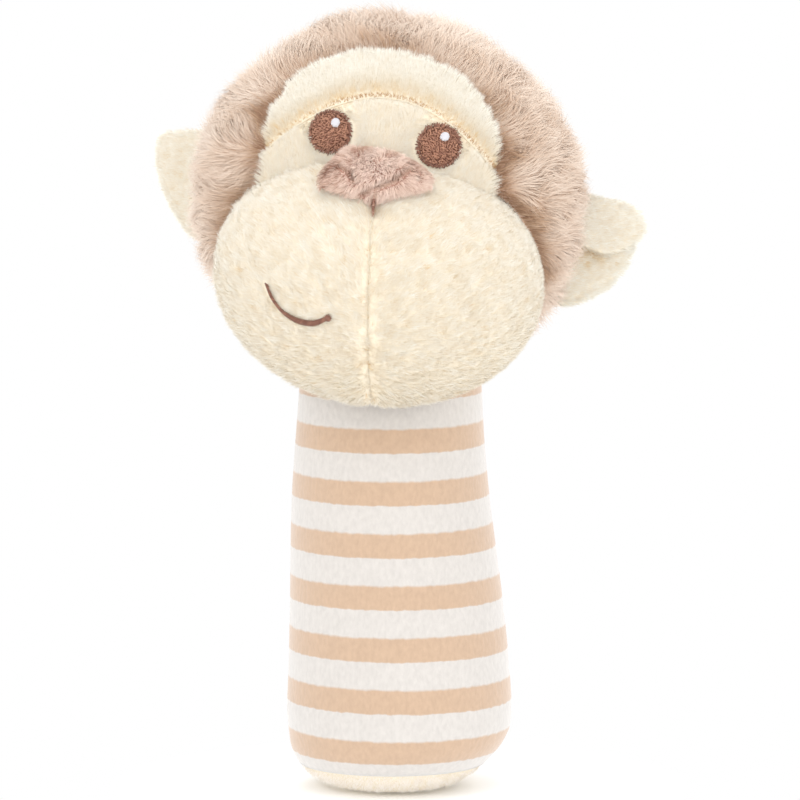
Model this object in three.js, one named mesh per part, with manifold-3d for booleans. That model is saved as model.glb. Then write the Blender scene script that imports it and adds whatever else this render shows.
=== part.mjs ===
// A plush monkey rattle: a stuffed handle of striped knit, a round head of brown pile with a cream face,
// and a plastic capsule with loose beads inside the head.
// Millimetres, +Z up. The origin is the middle of the flat base, and the face looks along -Y.
// Left and right are as seen from the front, so left is -X.
import * as THREE from "three";
import { mergeVertices } from "three/addons/utils/BufferGeometryUtils.js";
import Module from "manifold-3d";

const wasm = await Module();
wasm.setup();

// Driving dimensions of the handle
const clearance = 0.3; // gap between two pieces that touch
const stemWidestRadius = 21.4;
const stemWidestHeight = 13;
const stemSwell = 0.3; // how far the sides bulge past a straight taper
const stemLean = -1.8; // how far the neck stands to the left of the base
const sleeveWall = 1.0;
const baseFlatRadius = 13;
const baseSeamRadius = 18.8;
const baseSeamHeight = 4.2;
const baseThickness = 1.5;

// Driving dimensions of the neck
const neckHeight = 77.8; // the middle of the flexing neck
const neckRadius = 17.2; // outside of the sleeve at the neck
const neckTuckAngle = 22; // the sleeve curves into the head up to this angle above the neck's middle
const neckFlexAngle = 15; // how far the head leans with both neck joints at their limits
const seatDepth = 10; // the filling's seat stops this far below the neck's middle

// Driving dimensions of the head
const headRise = 36; // the head's centre above the middle of the neck
const headShift = -0.2; // and this far to the right of it
const headTilt = 7.3; // the head leans to the right by this angle
const skullRadii = new THREE.Vector3(37.5, 33, 35);
const skullWall = 2.6; // cloth and long pile
const fillingSlack = 0.55; // the fibre lies this loosely behind the covers
const panelRecess = 1.3; // the short plush lies this far under the long pile
const browPuff = 0.8; // the brow stands proud of the face by this much
const faceHalfWidth = 22;
const faceTopHeight = 26; // top of the cream face above the head's centre
const faceShoulderHeight = 6; // the face's sides are straight up to here
const foldTopHeight = 17;
const foldSideHeight = 2; // height of the brow fold at its two ends
const muzzleRadii = new THREE.Vector3(30.4, 23, 23.6);
const muzzleCentre = new THREE.Vector3(1.6, -22, -16);
const muzzleWall = 1.6;
const muzzleSeamTurn = 5.5; // the seam under the nose hangs this much straighter than the head

// Driving dimensions of the face's small pieces
const eyeRadius = 4.2;
const eyeSpacing = 20;
const eyeHeight = 9.6;
const threadHeight = 0.7; // how proud the embroidery stands
const highlightRadius = 0.85;
const highlightShift = new THREE.Vector2(0.8, 1.75); // from the eye's centre
const noseHalfWidth = 10.4;
const noseCentreHeight = 2.4;
const noseSlope = 42; // the nose faces this far upwards
const noseTwist = 7; // the nose is set level although the head leans
const noseThickness = 3.2;
const smileRadius = 0.8;

// Driving dimensions of the ears
const earThickness = 1.3; // one layer of plush
const earGap = 0.8; // between the head and the middle of an ear's root
const earFold = 25; // how far an ear folds forwards and back
const earRootDepth = 4; // the ears' roots lie this far behind the head's centre
const ears = {
  left: { side: -1, length: 12.5, halfHeight: 10.4, rootHeight: -3.4, tipRise: 4, sweep: 38, cup: 1.5 },
  right: { side: 1, length: 13, halfHeight: 12, rootHeight: -6.6, tipRise: 5, sweep: 12, cup: 3 },
};

// Driving dimensions of the rattle capsule
const capsuleRadius = 15;
const capsuleWall = 1.6;
const capsuleDrop = 1; // below the head's centre
const lapHeight = 1.5; // height of the lip that centres the two halves
const fillingChannelRadius = 7; // the way the capsule was pushed in, closed by the neck's filling
const beadRadius = 2.5;
const beadCount = 5;
const beadRingRadius = 6.2;
const beadClearance = 0.15;

// Colours and finishes
const brownPile = { color: 0xd9c0ad, roughness: 1 };
const creamPlush = { color: 0xf6e8d2, roughness: 1 };
const stripedKnit = { color: 0xe9d7c4, roughness: 0.95 };
const nosePlush = { color: 0xcfad9c, roughness: 1 };
const brownThread = { color: 0x7a5244, roughness: 0.6 };
const whiteThread = { color: 0xf7f5f2, roughness: 0.6 };
const fibreFilling = { color: 0xfaf8f4, roughness: 1 };
const casePlastic = { color: 0xe8eef2, roughness: 0.4 };
const beadPlastic = { color: 0xd8d2c8, roughness: 0.35 };

// Grid counts
const roundSides = 28;
const hiddenSides = 20;
const smallSides = 20;

const radians = THREE.MathUtils.degToRad;
const neckCentre = new THREE.Vector3(stemLean, 0, neckHeight);
const headCentre = new THREE.Vector3(stemLean + headShift, 0, neckHeight + headRise);
const neckOuterClear = neckRadius + clearance;
const ballSeatRadius = neckRadius - sleeveWall;
const headMatrix = new THREE.Matrix4().makeRotationY(radians(headTilt)).setPosition(headCentre);
const intoHead = headMatrix.clone().invert();
const panelRadii = inflate(skullRadii, -panelRecess);
const capsuleCentre = new THREE.Vector3(0, 0, -capsuleDrop);

const rattle = new THREE.Group();
const head = new THREE.Group();
head.applyMatrix4(headMatrix);
rattle.add(head);

// Three radii, all changed by the same amount
function inflate(radii, by) {
  return new THREE.Vector3(radii.x + by, radii.y + by, radii.z + by);
}

// A closed mesh as a manifold solid with its faces pointing out
function toSolid(geometry) {
  const bare = geometry.clone();
  bare.deleteAttribute("normal");
  bare.deleteAttribute("uv");
  const merged = mergeVertices(bare, 1e-4);
  const at = merged.attributes.position;
  const corners = [0, 1, 2].map(() => new THREE.Vector3());
  const triangles = [];
  let volume = 0;
  for (let i = 0; i < merged.index.count; i += 3) {
    const ids = [merged.index.getX(i), merged.index.getX(i + 1), merged.index.getX(i + 2)];
    if (new Set(ids).size < 3) continue;
    corners.forEach((corner, k) => corner.fromBufferAttribute(at, ids[k]));
    volume += corners[0].dot(corners[1].clone().cross(corners[2]));
    triangles.push(ids);
  }
  const outward = volume < 0 ? triangles.map((ids) => ids.reverse()) : triangles;
  return new wasm.Manifold(
    new wasm.Mesh({
      numProp: 3,
      vertProperties: new Float32Array(at.array),
      triVerts: new Uint32Array(outward.flat()),
    }),
  );
}

// The largest separate body of a solid, so that a cut leaves no crumbs
function largest(solid) {
  const bodies = solid.decompose();
  return bodies.reduce((best, body) => (body.volume() > best.volume() ? body : best));
}

function addPiece(group, name, solid, finish) {
  const mesh = largest(solid).getMesh();
  const geometry = new THREE.BufferGeometry();
  geometry.setAttribute("position", new THREE.BufferAttribute(mesh.vertProperties, 3));
  geometry.setIndex(new THREE.BufferAttribute(mesh.triVerts, 1));
  geometry.computeVertexNormals();
  const piece = new THREE.Mesh(geometry, new THREE.MeshStandardMaterial({ metalness: 0, ...finish }));
  piece.name = name;
  group.add(piece);
  return piece;
}

function ellipsoid(radii, centre = new THREE.Vector3(), sides = roundSides) {
  const round = new THREE.SphereGeometry(1, sides, Math.round(sides * 0.6));
  return toSolid(round.scale(radii.x, radii.y, radii.z).translate(centre.x, centre.y, centre.z));
}

function ball(radius, centre) {
  return ellipsoid(new THREE.Vector3(radius, radius, radius), centre, hiddenSides);
}

// A profile of [radius, height] points turned about the Z axis
function turned(profile, sides = roundSides) {
  const points = profile.map(([radius, height]) => new THREE.Vector2(radius, height));
  return new THREE.LatheGeometry(points, sides).rotateX(Math.PI / 2);
}

// Points of an arc about a centre on a profile, from one angle above the horizontal to another
function arc(radius, height, from, to, steps, squash = 1, offset = 0) {
  return Array.from({ length: steps + 1 }, (_, i) => {
    const angle = radians(from + ((to - from) * i) / steps);
    return [offset + radius * Math.cos(angle), height + radius * squash * Math.sin(angle)];
  });
}

// A box that holds everything on one side of a plane square to an axis
function halfSpace(axis, from, towards) {
  const reach = 200;
  const box = new THREE.BoxGeometry(reach, reach, reach);
  const shift = from + (towards * reach) / 2;
  return toSolid(box.translate(axis === "x" ? shift : 0, axis === "y" ? shift : 0, axis === "z" ? shift : 0));
}

// Handle

// Outer radius of the handle at a height between the base seam and the neck
function stemRadius(height) {
  if (height < stemWidestHeight) {
    const share = (height - baseSeamHeight) / (stemWidestHeight - baseSeamHeight);
    return baseSeamRadius + (stemWidestRadius - baseSeamRadius) * Math.sin((share * Math.PI) / 2);
  }
  const share = (height - stemWidestHeight) / (neckHeight - stemWidestHeight);
  const taper = stemWidestRadius + (neckRadius - stemWidestRadius) * share;
  return taper + stemSwell * Math.sin(share * Math.PI);
}

// The handle leans between its widest height and the lower end of the neck's seat
function lean(geometry) {
  const at = geometry.attributes.position;
  const top = neckHeight - seatDepth - ballSeatRadius / 2;
  for (let i = 0; i < at.count; i += 1) {
    const share = THREE.MathUtils.smoothstep(at.getZ(i), stemWidestHeight, top);
    at.setX(i, at.getX(i) + stemLean * share);
  }
  return geometry;
}

// Points up the handle's side, set in from its outside
function stemSide(inset, from, to, steps) {
  return Array.from({ length: steps + 1 }, (_, i) => {
    const height = from + ((to - from) * i) / steps;
    return [stemRadius(height) - inset, height];
  });
}

function makeHandle() {
  const hem = baseSeamHeight + clearance / 2;
  const foot = stemWidestHeight;
  const tuck = (inset) => arc(neckRadius - inset, neckHeight, 0, neckTuckAngle, 2);
  const wall = (inset) => [
    ...stemSide(inset, hem, foot, 3),
    ...stemSide(inset, foot, neckHeight, 5).slice(1),
    ...tuck(inset).slice(1),
  ];
  const outside = wall(0);
  const inside = wall(sleeveWall);
  const sleeveProfile = [...outside, ...inside.reverse(), outside[0]];
  addPiece(rattle, "stem_sleeve", toSolid(lean(turned(sleeveProfile))), stripedKnit);

  const rim = baseSeamHeight - clearance / 2;
  const roll = (inset, squash) => {
    const width = baseSeamRadius - baseFlatRadius - inset;
    return arc(width, rim, -90, 0, 3, squash / width, baseFlatRadius);
  };
  const discProfile = [
    [0, 0],
    ...roll(0, rim),
    ...roll(baseThickness, rim - baseThickness).reverse(),
    [0, baseThickness],
  ];
  addPiece(rattle, "base_disc", toSolid(turned(discProfile)), creamPlush);

  const fillInset = sleeveWall + clearance;
  const fillingProfile = [
    [0, baseThickness + clearance],
    ...roll(baseThickness + clearance, rim - baseThickness - clearance),
    ...stemSide(fillInset, hem, foot, 3),
    ...stemSide(fillInset, foot, neckHeight - seatDepth, 4).slice(1),
    [0, neckHeight - seatDepth],
  ];
  const filling = toSolid(lean(turned(fillingProfile))).subtract(ball(ballSeatRadius, neckCentre));
  addPiece(rattle, "stem_filling", filling, fibreFilling);
}

// Neck

function makeNeck() {
  addPiece(rattle, "neck_filling", ball(ballSeatRadius - clearance, neckCentre), fibreFilling);
}

// The space that the handle sweeps under the head as the neck flexes, in the head's frame
function neckSweep() {
  const below = 25;
  const side = arc(neckOuterClear, 0, neckFlexAngle, 90, 7);
  const [sideRadius, sideHeight] = side[0];
  const taperRise = neckHeight - stemWidestHeight;
  const taper = Math.atan((stemWidestRadius - neckRadius + Math.PI * stemSwell) / taperRise);
  const skirt = sideRadius + Math.tan(radians(neckFlexAngle) + taper) * (sideHeight + below);
  const profile = [[0, -below], [skirt, -below], ...side];
  const sweep = turned(profile).translate(neckCentre.x, neckCentre.y, neckCentre.z);
  return toSolid(sweep.applyMatrix4(intoHead));
}

// Head, in its own frame: the centre at the origin, the face along -Y

// A point on the ellipsoid of the face panels, pushed out by an offset, and the way it faces
function onFace(across, up, offset = 0) {
  const radii = inflate(panelRadii, offset);
  const depth = Math.sqrt(1 - (across / radii.x) ** 2 - (up / radii.z) ** 2);
  return new THREE.Vector3(across, -radii.y * depth, up);
}

function faceNormal(across, up) {
  const point = onFace(across, up);
  return point.divide(panelRadii).divide(panelRadii).normalize();
}

// A point on the muzzle, pushed out by an offset
function onMuzzle(across, up, offset) {
  const radii = inflate(muzzleRadii, offset);
  const share = [(across - muzzleCentre.x) / radii.x, (up - muzzleCentre.z) / radii.z];
  const depth = Math.sqrt(1 - share[0] ** 2 - share[1] ** 2);
  return new THREE.Vector3(across, muzzleCentre.y - radii.y * depth, up);
}

// A flat outline pushed back from in front of the face as far as the head's middle
function throughFace(shape) {
  const depth = 90;
  const block = new THREE.ExtrudeGeometry(shape, { depth, bevelEnabled: false, curveSegments: 16 });
  return toSolid(block.rotateX(Math.PI / 2));
}

// The outline of the cream face, grown by a margin
function faceOutline(margin) {
  const half = faceHalfWidth + margin;
  const low = muzzleCentre.z;
  const outline = new THREE.Shape();
  outline.moveTo(half, low);
  outline.lineTo(half, faceShoulderHeight);
  const rise = faceTopHeight + margin - faceShoulderHeight;
  outline.absellipse(0, faceShoulderHeight, half, rise, 0, Math.PI, false, 0);
  outline.lineTo(-half, low);
  return outline;
}

// Everything above the brow fold, raised or lowered by a margin
function aboveFold(margin) {
  const half = faceHalfWidth + 3;
  const ends = foldSideHeight + margin;
  const shape = new THREE.Shape();
  shape.moveTo(-half, ends);
  shape.quadraticCurveTo(0, 2 * (foldTopHeight + margin) - ends, half, ends);
  shape.lineTo(half, skullRadii.z + 10);
  shape.lineTo(-half, skullRadii.z + 10);
  return shape;
}

const skullInside = ellipsoid(inflate(skullRadii, -skullWall));
const muzzleOutside = ellipsoid(inflate(muzzleRadii, clearance), muzzleCentre);
const sweptByNeck = neckSweep();

function makeSkull() {
  const cover = ellipsoid(skullRadii)
    .subtract(skullInside)
    .subtract(throughFace(faceOutline(clearance / 2)))
    .subtract(muzzleOutside)
    .subtract(sweptByNeck);
  addPiece(head, "skull_left", cover.subtract(halfSpace("x", -clearance / 2, 1)), brownPile);
  addPiece(head, "skull_right", cover.subtract(halfSpace("x", clearance / 2, -1)), brownPile);
}

function makeFace() {
  const face = throughFace(faceOutline(-clearance / 2));
  const brow = ellipsoid(inflate(panelRadii, browPuff))
    .subtract(skullInside)
    .intersect(face)
    .intersect(throughFace(aboveFold(clearance / 2)))
    .subtract(muzzleOutside);
  addPiece(head, "brow_panel", brow, creamPlush);
  const panel = ellipsoid(panelRadii)
    .subtract(skullInside)
    .intersect(face)
    .subtract(throughFace(aboveFold(-clearance / 2)))
    .subtract(muzzleOutside);
  addPiece(head, "face_panel", panel, creamPlush);
}

function makeMuzzle() {
  const cover = ellipsoid(muzzleRadii, muzzleCentre)
    .subtract(ellipsoid(inflate(muzzleRadii, -muzzleWall), muzzleCentre))
    .subtract(skullInside)
    .subtract(sweptByNeck);
  const beside = (towards) => halfSpace("x", (-towards * clearance) / 2, towards).rotate([0, -muzzleSeamTurn, 0]);
  addPiece(head, "muzzle_left", cover.subtract(beside(1)), creamPlush);
  addPiece(head, "muzzle_right", cover.subtract(beside(-1)), creamPlush);
}

// A disc of embroidery that lies on the face between two offsets from it
function embroideredDisc(across, up, radius, low, high) {
  const punch = new THREE.CylinderGeometry(radius, radius, 12, smallSides);
  const turn = new THREE.Quaternion().setFromUnitVectors(new THREE.Vector3(0, 1, 0), faceNormal(across, up));
  const centre = onFace(across, up);
  punch.applyQuaternion(turn).translate(centre.x, centre.y, centre.z);
  return toSolid(punch).intersect(ellipsoid(inflate(panelRadii, high))).subtract(ellipsoid(inflate(panelRadii, low)));
}

function makeEyes() {
  const eyeLow = clearance;
  const eyeHigh = eyeLow + threadHeight;
  const spotLow = eyeHigh + clearance;
  const spotHigh = spotLow + threadHeight / 2;
  for (const [name, side] of [["eye_left", -1], ["eye_right", 1]]) {
    const across = (side * eyeSpacing) / 2;
    const eye = embroideredDisc(across, eyeHeight, eyeRadius, eyeLow, eyeHigh);
    addPiece(head, name, eye, brownThread);
    const spotAcross = across + highlightShift.x;
    const spotUp = eyeHeight + highlightShift.y;
    const spot = embroideredDisc(spotAcross, spotUp, highlightRadius, spotLow, spotHigh);
    addPiece(head, `${name}_highlight`, spot, whiteThread);
  }
}

// The nose pad: a domed cushion over a closed outline, cut to lie on the muzzle and the face
function makeNose() {
  const share = noseHalfWidth / 10.4;
  const outline = new THREE.CatmullRomCurve3(
    [
      [10.4, 0.4], [9, -3.4], [4, -5.4], [0.4, -7.4], [-3.6, -5.6], [-9, -3.2],
      [-10.4, 0], [-8, 4.2], [-3.8, 7], [1.6, 6.4], [6.6, 4.2],
    ].map(([across, up]) => new THREE.Vector3(across * share, 0, up * share)),
    true,
  ).getSpacedPoints(smallSides).slice(0, smallSides);
  const rows = 4;
  const sunk = 9;
  const positions = [0, -noseThickness, 0];
  for (let row = 1; row <= rows; row += 1) {
    const ring = row / rows;
    const height = noseThickness * Math.sqrt(1 - ring ** 2.6);
    outline.forEach((point) => positions.push(point.x * ring, -height, point.z * ring));
  }
  outline.forEach((point) => positions.push(point.x * 0.8, sunk, point.z * 0.8));
  positions.push(0, sunk, 0);
  const last = positions.length / 3 - 1;
  const faces = [];
  for (let i = 0; i < smallSides; i += 1) {
    const next = (i + 1) % smallSides;
    faces.push(0, 1 + i, 1 + next);
    for (let row = 0; row < rows; row += 1) {
      const a = 1 + row * smallSides + i;
      const b = 1 + row * smallSides + next;
      faces.push(a, a + smallSides, b, b, a + smallSides, b + smallSides);
    }
    faces.push(last, last - smallSides + next, last - smallSides + i);
  }
  const cushion = new THREE.BufferGeometry();
  cushion.setAttribute("position", new THREE.Float32BufferAttribute(positions, 3));
  cushion.setIndex(faces);
  const base = onMuzzle(0, noseCentreHeight, 0);
  cushion.rotateY(radians(-noseTwist)).rotateX(radians(-noseSlope)).translate(0, base.y, base.z);
  const nose = toSolid(cushion)
    .subtract(muzzleOutside)
    .subtract(ellipsoid(inflate(panelRadii, clearance)));
  addPiece(head, "nose", nose, nosePlush);
}

// The smile: a rounded ridge of thread that starts high on the left and ends beside the seam
function makeSmile() {
  const route = [[-16.9, -18.8], [-15.5, -21.2], [-13.3, -23.3], [-10.5, -24.5], [-7.5, -24.6], [-5.2, -23.4]];
  const path = new THREE.CatmullRomCurve3(route.map(([across, up]) => onMuzzle(across, up, clearance)));
  const section = new THREE.Shape().absarc(0, 0, smileRadius, 0, 2 * Math.PI);
  const ridge = new THREE.ExtrudeGeometry(section, { steps: 12, curveSegments: 6, extrudePath: path });
  addPiece(head, "smile_stitch", toSolid(ridge).subtract(muzzleOutside), brownThread);
}

// One layer of an ear: a curved half-round flap between two offsets from its middle surface
function earLayer(ear, low, high) {
  const alongSteps = 5;
  const outSteps = 4;
  const inside = 6; // the flap starts inside the head and is cut at its surface
  const across = [];
  for (let i = 0; i <= alongSteps * 2; i += 1) {
    const along = -1 + i / alongSteps;
    const bulge = Math.sqrt(Math.max(0, 1 - along ** 2));
    for (let j = 0; j <= outSteps; j += 1) {
      const out = j / outSteps;
      const reach = out * (ear.length + inside) * (0.35 + 0.65 * bulge) - inside;
      const up = along * ear.halfHeight * (1 - 0.12 * out) + (ear.tipRise * Math.max(0, reach)) / ear.length;
      const forward = ear.cup * along ** 2 * out;
      across.push([reach, up, forward]);
    }
  }
  const layer = (offset) => across.flatMap(([reach, up, forward]) => [ear.side * reach, -forward - offset, up]);
  const positions = [...layer(high), ...layer(low)];
  const count = across.length;
  const width = outSteps + 1;
  const length = alongSteps * 2 + 1;
  const faces = [];
  const quad = (a, b, c, d) => faces.push(a, b, c, a, c, d);
  for (let i = 0; i < length - 1; i += 1) {
    for (let j = 0; j < width - 1; j += 1) {
      const a = i * width + j;
      quad(a, a + 1, a + width + 1, a + width);
      quad(count + a, count + a + width, count + a + width + 1, count + a + 1);
    }
    const root = i * width;
    const rim = root + width - 1;
    quad(root, root + width, count + root + width, count + root);
    quad(rim, count + rim, count + rim + width, rim + width);
  }
  const end = (length - 1) * width;
  for (let j = 0; j < width - 1; j += 1) {
    quad(j, count + j, count + j + 1, j + 1);
    quad(end + j, end + j + 1, count + end + j + 1, count + end + j);
  }
  const flap = new THREE.BufferGeometry();
  flap.setAttribute("position", new THREE.Float32BufferAttribute(positions, 3));
  flap.setIndex(faces);
  const root = earRoot(ear);
  const placed = flap.rotateZ(radians(ear.side * ear.sweep)).rotateY(earSlant(ear));
  return toSolid(placed.translate(root.x, root.y, root.z));
}

// The middle of an ear's root, on the side of the head
function earRoot(ear) {
  const level = 1 - (earRootDepth / skullRadii.y) ** 2 - (ear.rootHeight / skullRadii.z) ** 2;
  return new THREE.Vector3(ear.side * skullRadii.x * Math.sqrt(level), earRootDepth, ear.rootHeight);
}

// An ear's root lies along the side of the head, so it leans as the side does there
function earSlant(ear) {
  const root = earRoot(ear);
  return Math.atan(-((skullRadii.x / skullRadii.z) ** 2 * root.z) / root.x);
}

// Where the head's surface comes to against an ear that is folded by an angle about its root
function headSeenFromEar(ear, angle) {
  const root = earRoot(ear);
  const axis = new THREE.Vector3(Math.sin(earSlant(ear)), 0, Math.cos(earSlant(ear)));
  const turn = new THREE.Matrix4().makeTranslation(root.x, root.y, root.z);
  turn.multiply(new THREE.Matrix4().makeRotationAxis(axis, radians(angle)));
  turn.multiply(new THREE.Matrix4().makeTranslation(-root.x, -root.y, -root.z));
  return ellipsoid(inflate(skullRadii, clearance)).transform(turn.elements);
}

function makeEars() {
  for (const [name, ear] of Object.entries(ears)) {
    const foldedHeads = [-earFold, earFold].map((angle) => headSeenFromEar(ear, angle));
    const room = ellipsoid(inflate(skullRadii, earGap)).add(foldedHeads[0]).add(foldedHeads[1]);
    const front = earLayer(ear, clearance / 2, clearance / 2 + earThickness);
    const back = earLayer(ear, -clearance / 2 - earThickness, -clearance / 2);
    addPiece(head, `ear_${name}_front`, front.subtract(room), creamPlush);
    addPiece(head, `ear_${name}_back`, back.subtract(room), creamPlush);
  }
}

function makeHeadFilling() {
  const inHead = (solid) => solid.transform(intoHead.elements);
  const tuckTop = neckHeight + neckOuterClear * Math.sin(radians(neckTuckAngle + neckFlexAngle));
  const aroundTuck = sweptByNeck.intersect(inHead(halfSpace("z", tuckTop, -1)));
  const channel = new THREE.CylinderGeometry(fillingChannelRadius, fillingChannelRadius, neckHeight, smallSides);
  const channelSolid = toSolid(channel.rotateX(Math.PI / 2).translate(0, 0, capsuleCentre.z - neckHeight / 2));
  const filling = ellipsoid(inflate(skullRadii, -skullWall - fillingSlack), undefined, hiddenSides)
    .add(ellipsoid(inflate(muzzleRadii, -muzzleWall - fillingSlack), muzzleCentre, hiddenSides))
    .subtract(aroundTuck)
    .subtract(inHead(ball(ballSeatRadius, neckCentre)))
    .subtract(ball(capsuleRadius + clearance, capsuleCentre))
    .subtract(channelSolid);
  addPiece(head, "head_filling", filling, fibreFilling);
}

// Rattle capsule

function makeCapsule() {
  const inner = capsuleRadius - capsuleWall;
  const lipRadius = inner + (capsuleWall - clearance) / 2;
  const seam = clearance / 2;
  const angleAt = (radius, height) => THREE.MathUtils.radToDeg(Math.asin(height / radius));
  const lowerProfile = [
    ...arc(capsuleRadius, 0, -90, -angleAt(capsuleRadius, seam), 6),
    [lipRadius, -seam],
    [lipRadius, lapHeight],
    ...arc(inner, 0, angleAt(inner, lapHeight), -90, 6),
  ];
  const lapTop = lapHeight + clearance;
  const upperProfile = [
    ...arc(capsuleRadius, 0, 90, angleAt(capsuleRadius, seam), 6),
    [lipRadius + clearance, seam],
    [lipRadius + clearance, lapTop],
    ...arc(inner, 0, angleAt(inner, lapTop), 90, 6),
  ];
  const placed = (profile) => toSolid(turned(profile, smallSides).translate(0, 0, capsuleCentre.z));
  addPiece(head, "rattle_case_lower", placed(lowerProfile), casePlastic);
  addPiece(head, "rattle_case_upper", placed(upperProfile), casePlastic);
}

// The beads lie in a ring at the bottom of the capsule, straight under the places that they fly up to
function makeBeads() {
  const middle = capsuleCentre.clone().applyMatrix4(headMatrix);
  const reach = capsuleRadius - capsuleWall - beadRadius - beadClearance;
  const drop = Math.sqrt(reach ** 2 - beadRingRadius ** 2);
  for (let i = 0; i < beadCount; i += 1) {
    const angle = (2 * Math.PI * i) / beadCount;
    const bead = new THREE.SphereGeometry(beadRadius, 10, 7);
    bead.translate(middle.x + beadRingRadius * Math.cos(angle), middle.y + beadRingRadius * Math.sin(angle), 0);
    addPiece(rattle, `rattle_bead_${i + 1}`, toSolid(bead.translate(0, 0, middle.z - drop)), beadPlastic);
  }
}

makeHandle();
makeNeck();
makeSkull();
makeFace();
makeMuzzle();
makeEyes();
makeNose();
makeSmile();
makeEars();
makeHeadFilling();
makeCapsule();
makeBeads();

export default rattle;
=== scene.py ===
import bmesh
import bpy
import numpy as np
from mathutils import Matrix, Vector


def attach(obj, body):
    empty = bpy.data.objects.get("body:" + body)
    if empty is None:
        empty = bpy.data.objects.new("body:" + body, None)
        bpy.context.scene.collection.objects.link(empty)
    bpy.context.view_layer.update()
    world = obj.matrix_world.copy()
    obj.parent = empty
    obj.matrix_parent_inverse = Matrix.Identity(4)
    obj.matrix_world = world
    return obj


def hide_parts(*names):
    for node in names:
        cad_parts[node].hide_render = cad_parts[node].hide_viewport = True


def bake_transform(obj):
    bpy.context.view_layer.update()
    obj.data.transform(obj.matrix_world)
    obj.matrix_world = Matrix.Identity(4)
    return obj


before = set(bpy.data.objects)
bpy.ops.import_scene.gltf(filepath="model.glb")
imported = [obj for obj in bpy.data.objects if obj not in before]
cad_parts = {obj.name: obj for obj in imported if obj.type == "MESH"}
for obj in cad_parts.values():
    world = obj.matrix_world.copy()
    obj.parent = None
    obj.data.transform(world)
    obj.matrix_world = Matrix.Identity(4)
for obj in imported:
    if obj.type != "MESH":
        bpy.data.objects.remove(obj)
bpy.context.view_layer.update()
print("frame loaded")

metresPerMillimetre = 0.001
fibreMap = "OFBake"  # across: a fibre's shade, up: from its root to its tip

head = {
    "centre": np.array([-2.0, 0.0, 113.8]),
    "tilt": np.radians(7.3),  # leans to the right
}
neck = {
    "centre": np.array([-1.8, 0.0, 77.8]),
    "radius": 17.2,
    "flex": np.radians(15),
    "flare": 0.354,  # of the room below it, across for each step down
    "gap": 0.4,
}
tiltCos, tiltSin = np.cos(head["tilt"]), np.sin(head["tilt"])
headTurn = np.array([[tiltCos, 0, tiltSin], [0, 1, 0], [-tiltSin, 0, tiltCos]])


def headToWorld(points):
    return points @ headTurn.T + head["centre"]


def asIs(points):
    return points


def unit(vectors):
    return vectors / np.maximum(np.linalg.norm(vectors, axis=-1, keepdims=True), 1e-12)


def along(vectors, normals):
    # What is left of a vector along the surface
    return vectors - (vectors * normals).sum(-1, keepdims=True) * normals


def smoothstep(low, high, value):
    share = np.clip((value - low) / (high - low), 0, 1)
    return share * share * (3 - 2 * share)


def splineThrough(knots, count):
    # A Catmull-Rom curve through the knots, cut into evenly long steps
    knots = np.asarray(knots, float)
    padded = np.vstack([2 * knots[:1] - knots[1:2], knots, 2 * knots[-1:] - knots[-2:-1]])
    place = np.linspace(0, len(knots) - 1 - 1e-9, count * 6)
    first = place.astype(int)
    t = (place - first)[:, None]
    a, b, c, d = (padded[first + i] for i in range(4))
    curve = 0.5 * (2 * b + (c - a) * t + (2 * a - 5 * b + 4 * c - d) * t**2 + (3 * b - a - 3 * c + d) * t**3)
    walked = np.concatenate([[0], np.cumsum(np.linalg.norm(np.diff(curve, axis=0), axis=1))])
    even = np.linspace(0, walked[-1], count)
    return np.stack([np.interp(even, walked, curve[:, i]) for i in range(curve.shape[1])], -1)


# Meshes

def meshFrom(name, points, faces, uv=None, weld=True, shading=None, flatFrom=None):
    # points: n by 3 in millimetres; faces: arrays of corner numbers, one array for each face size;
    # shading: a normal for each face corner; from the face number flatFrom on, faces aren't shaded smooth
    mesh = bpy.data.meshes.new(name)
    corners = np.concatenate([f.ravel() for f in faces]).astype(np.int32)
    sizes = np.concatenate([np.full(len(f), f.shape[1]) for f in faces]).astype(np.int32)
    starts = np.concatenate([[0], np.cumsum(sizes)[:-1]]).astype(np.int32)
    mesh.vertices.add(len(points))
    mesh.vertices.foreach_set("co", (points * metresPerMillimetre).astype(np.float32).ravel())
    mesh.loops.add(len(corners))
    mesh.loops.foreach_set("vertex_index", corners)
    mesh.polygons.add(len(sizes))
    mesh.polygons.foreach_set("loop_start", starts)
    smooth = np.ones(len(sizes), bool)
    smooth[flatFrom or len(sizes):] = False
    mesh.polygons.foreach_set("use_smooth", smooth)
    if uv is not None:
        layer = mesh.uv_layers.new(name=fibreMap)
        layer.data.foreach_set("uv", uv[corners].astype(np.float32).ravel())
    mesh.update(calc_edges=True)
    if weld:
        work = bmesh.new()
        work.from_mesh(mesh)
        bmesh.ops.remove_doubles(work, verts=work.verts, dist=1e-6)
        if work.calc_volume(signed=True) < 0:
            bmesh.ops.reverse_faces(work, faces=work.faces)
        work.to_mesh(mesh)
        work.free()
    if shading is not None:
        mesh.normals_split_custom_set(shading.astype(np.float32))
    piece = bpy.data.objects.new(name, mesh)
    bpy.context.scene.collection.objects.link(piece)
    return piece


def gridFaces(rows, cols, wrap):
    # The four corners of each cell of a grid; with wrap the last column joins the first
    row, col = np.meshgrid(np.arange(rows - 1), np.arange(cols if wrap else cols - 1), indexing="ij")
    row, col = row.ravel(), col.ravel()
    nextCol = (col + 1) % cols
    here, below = row * cols, (row + 1) * cols
    return np.stack([here + col, here + nextCol, below + nextCol, below + col], 1)


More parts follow.
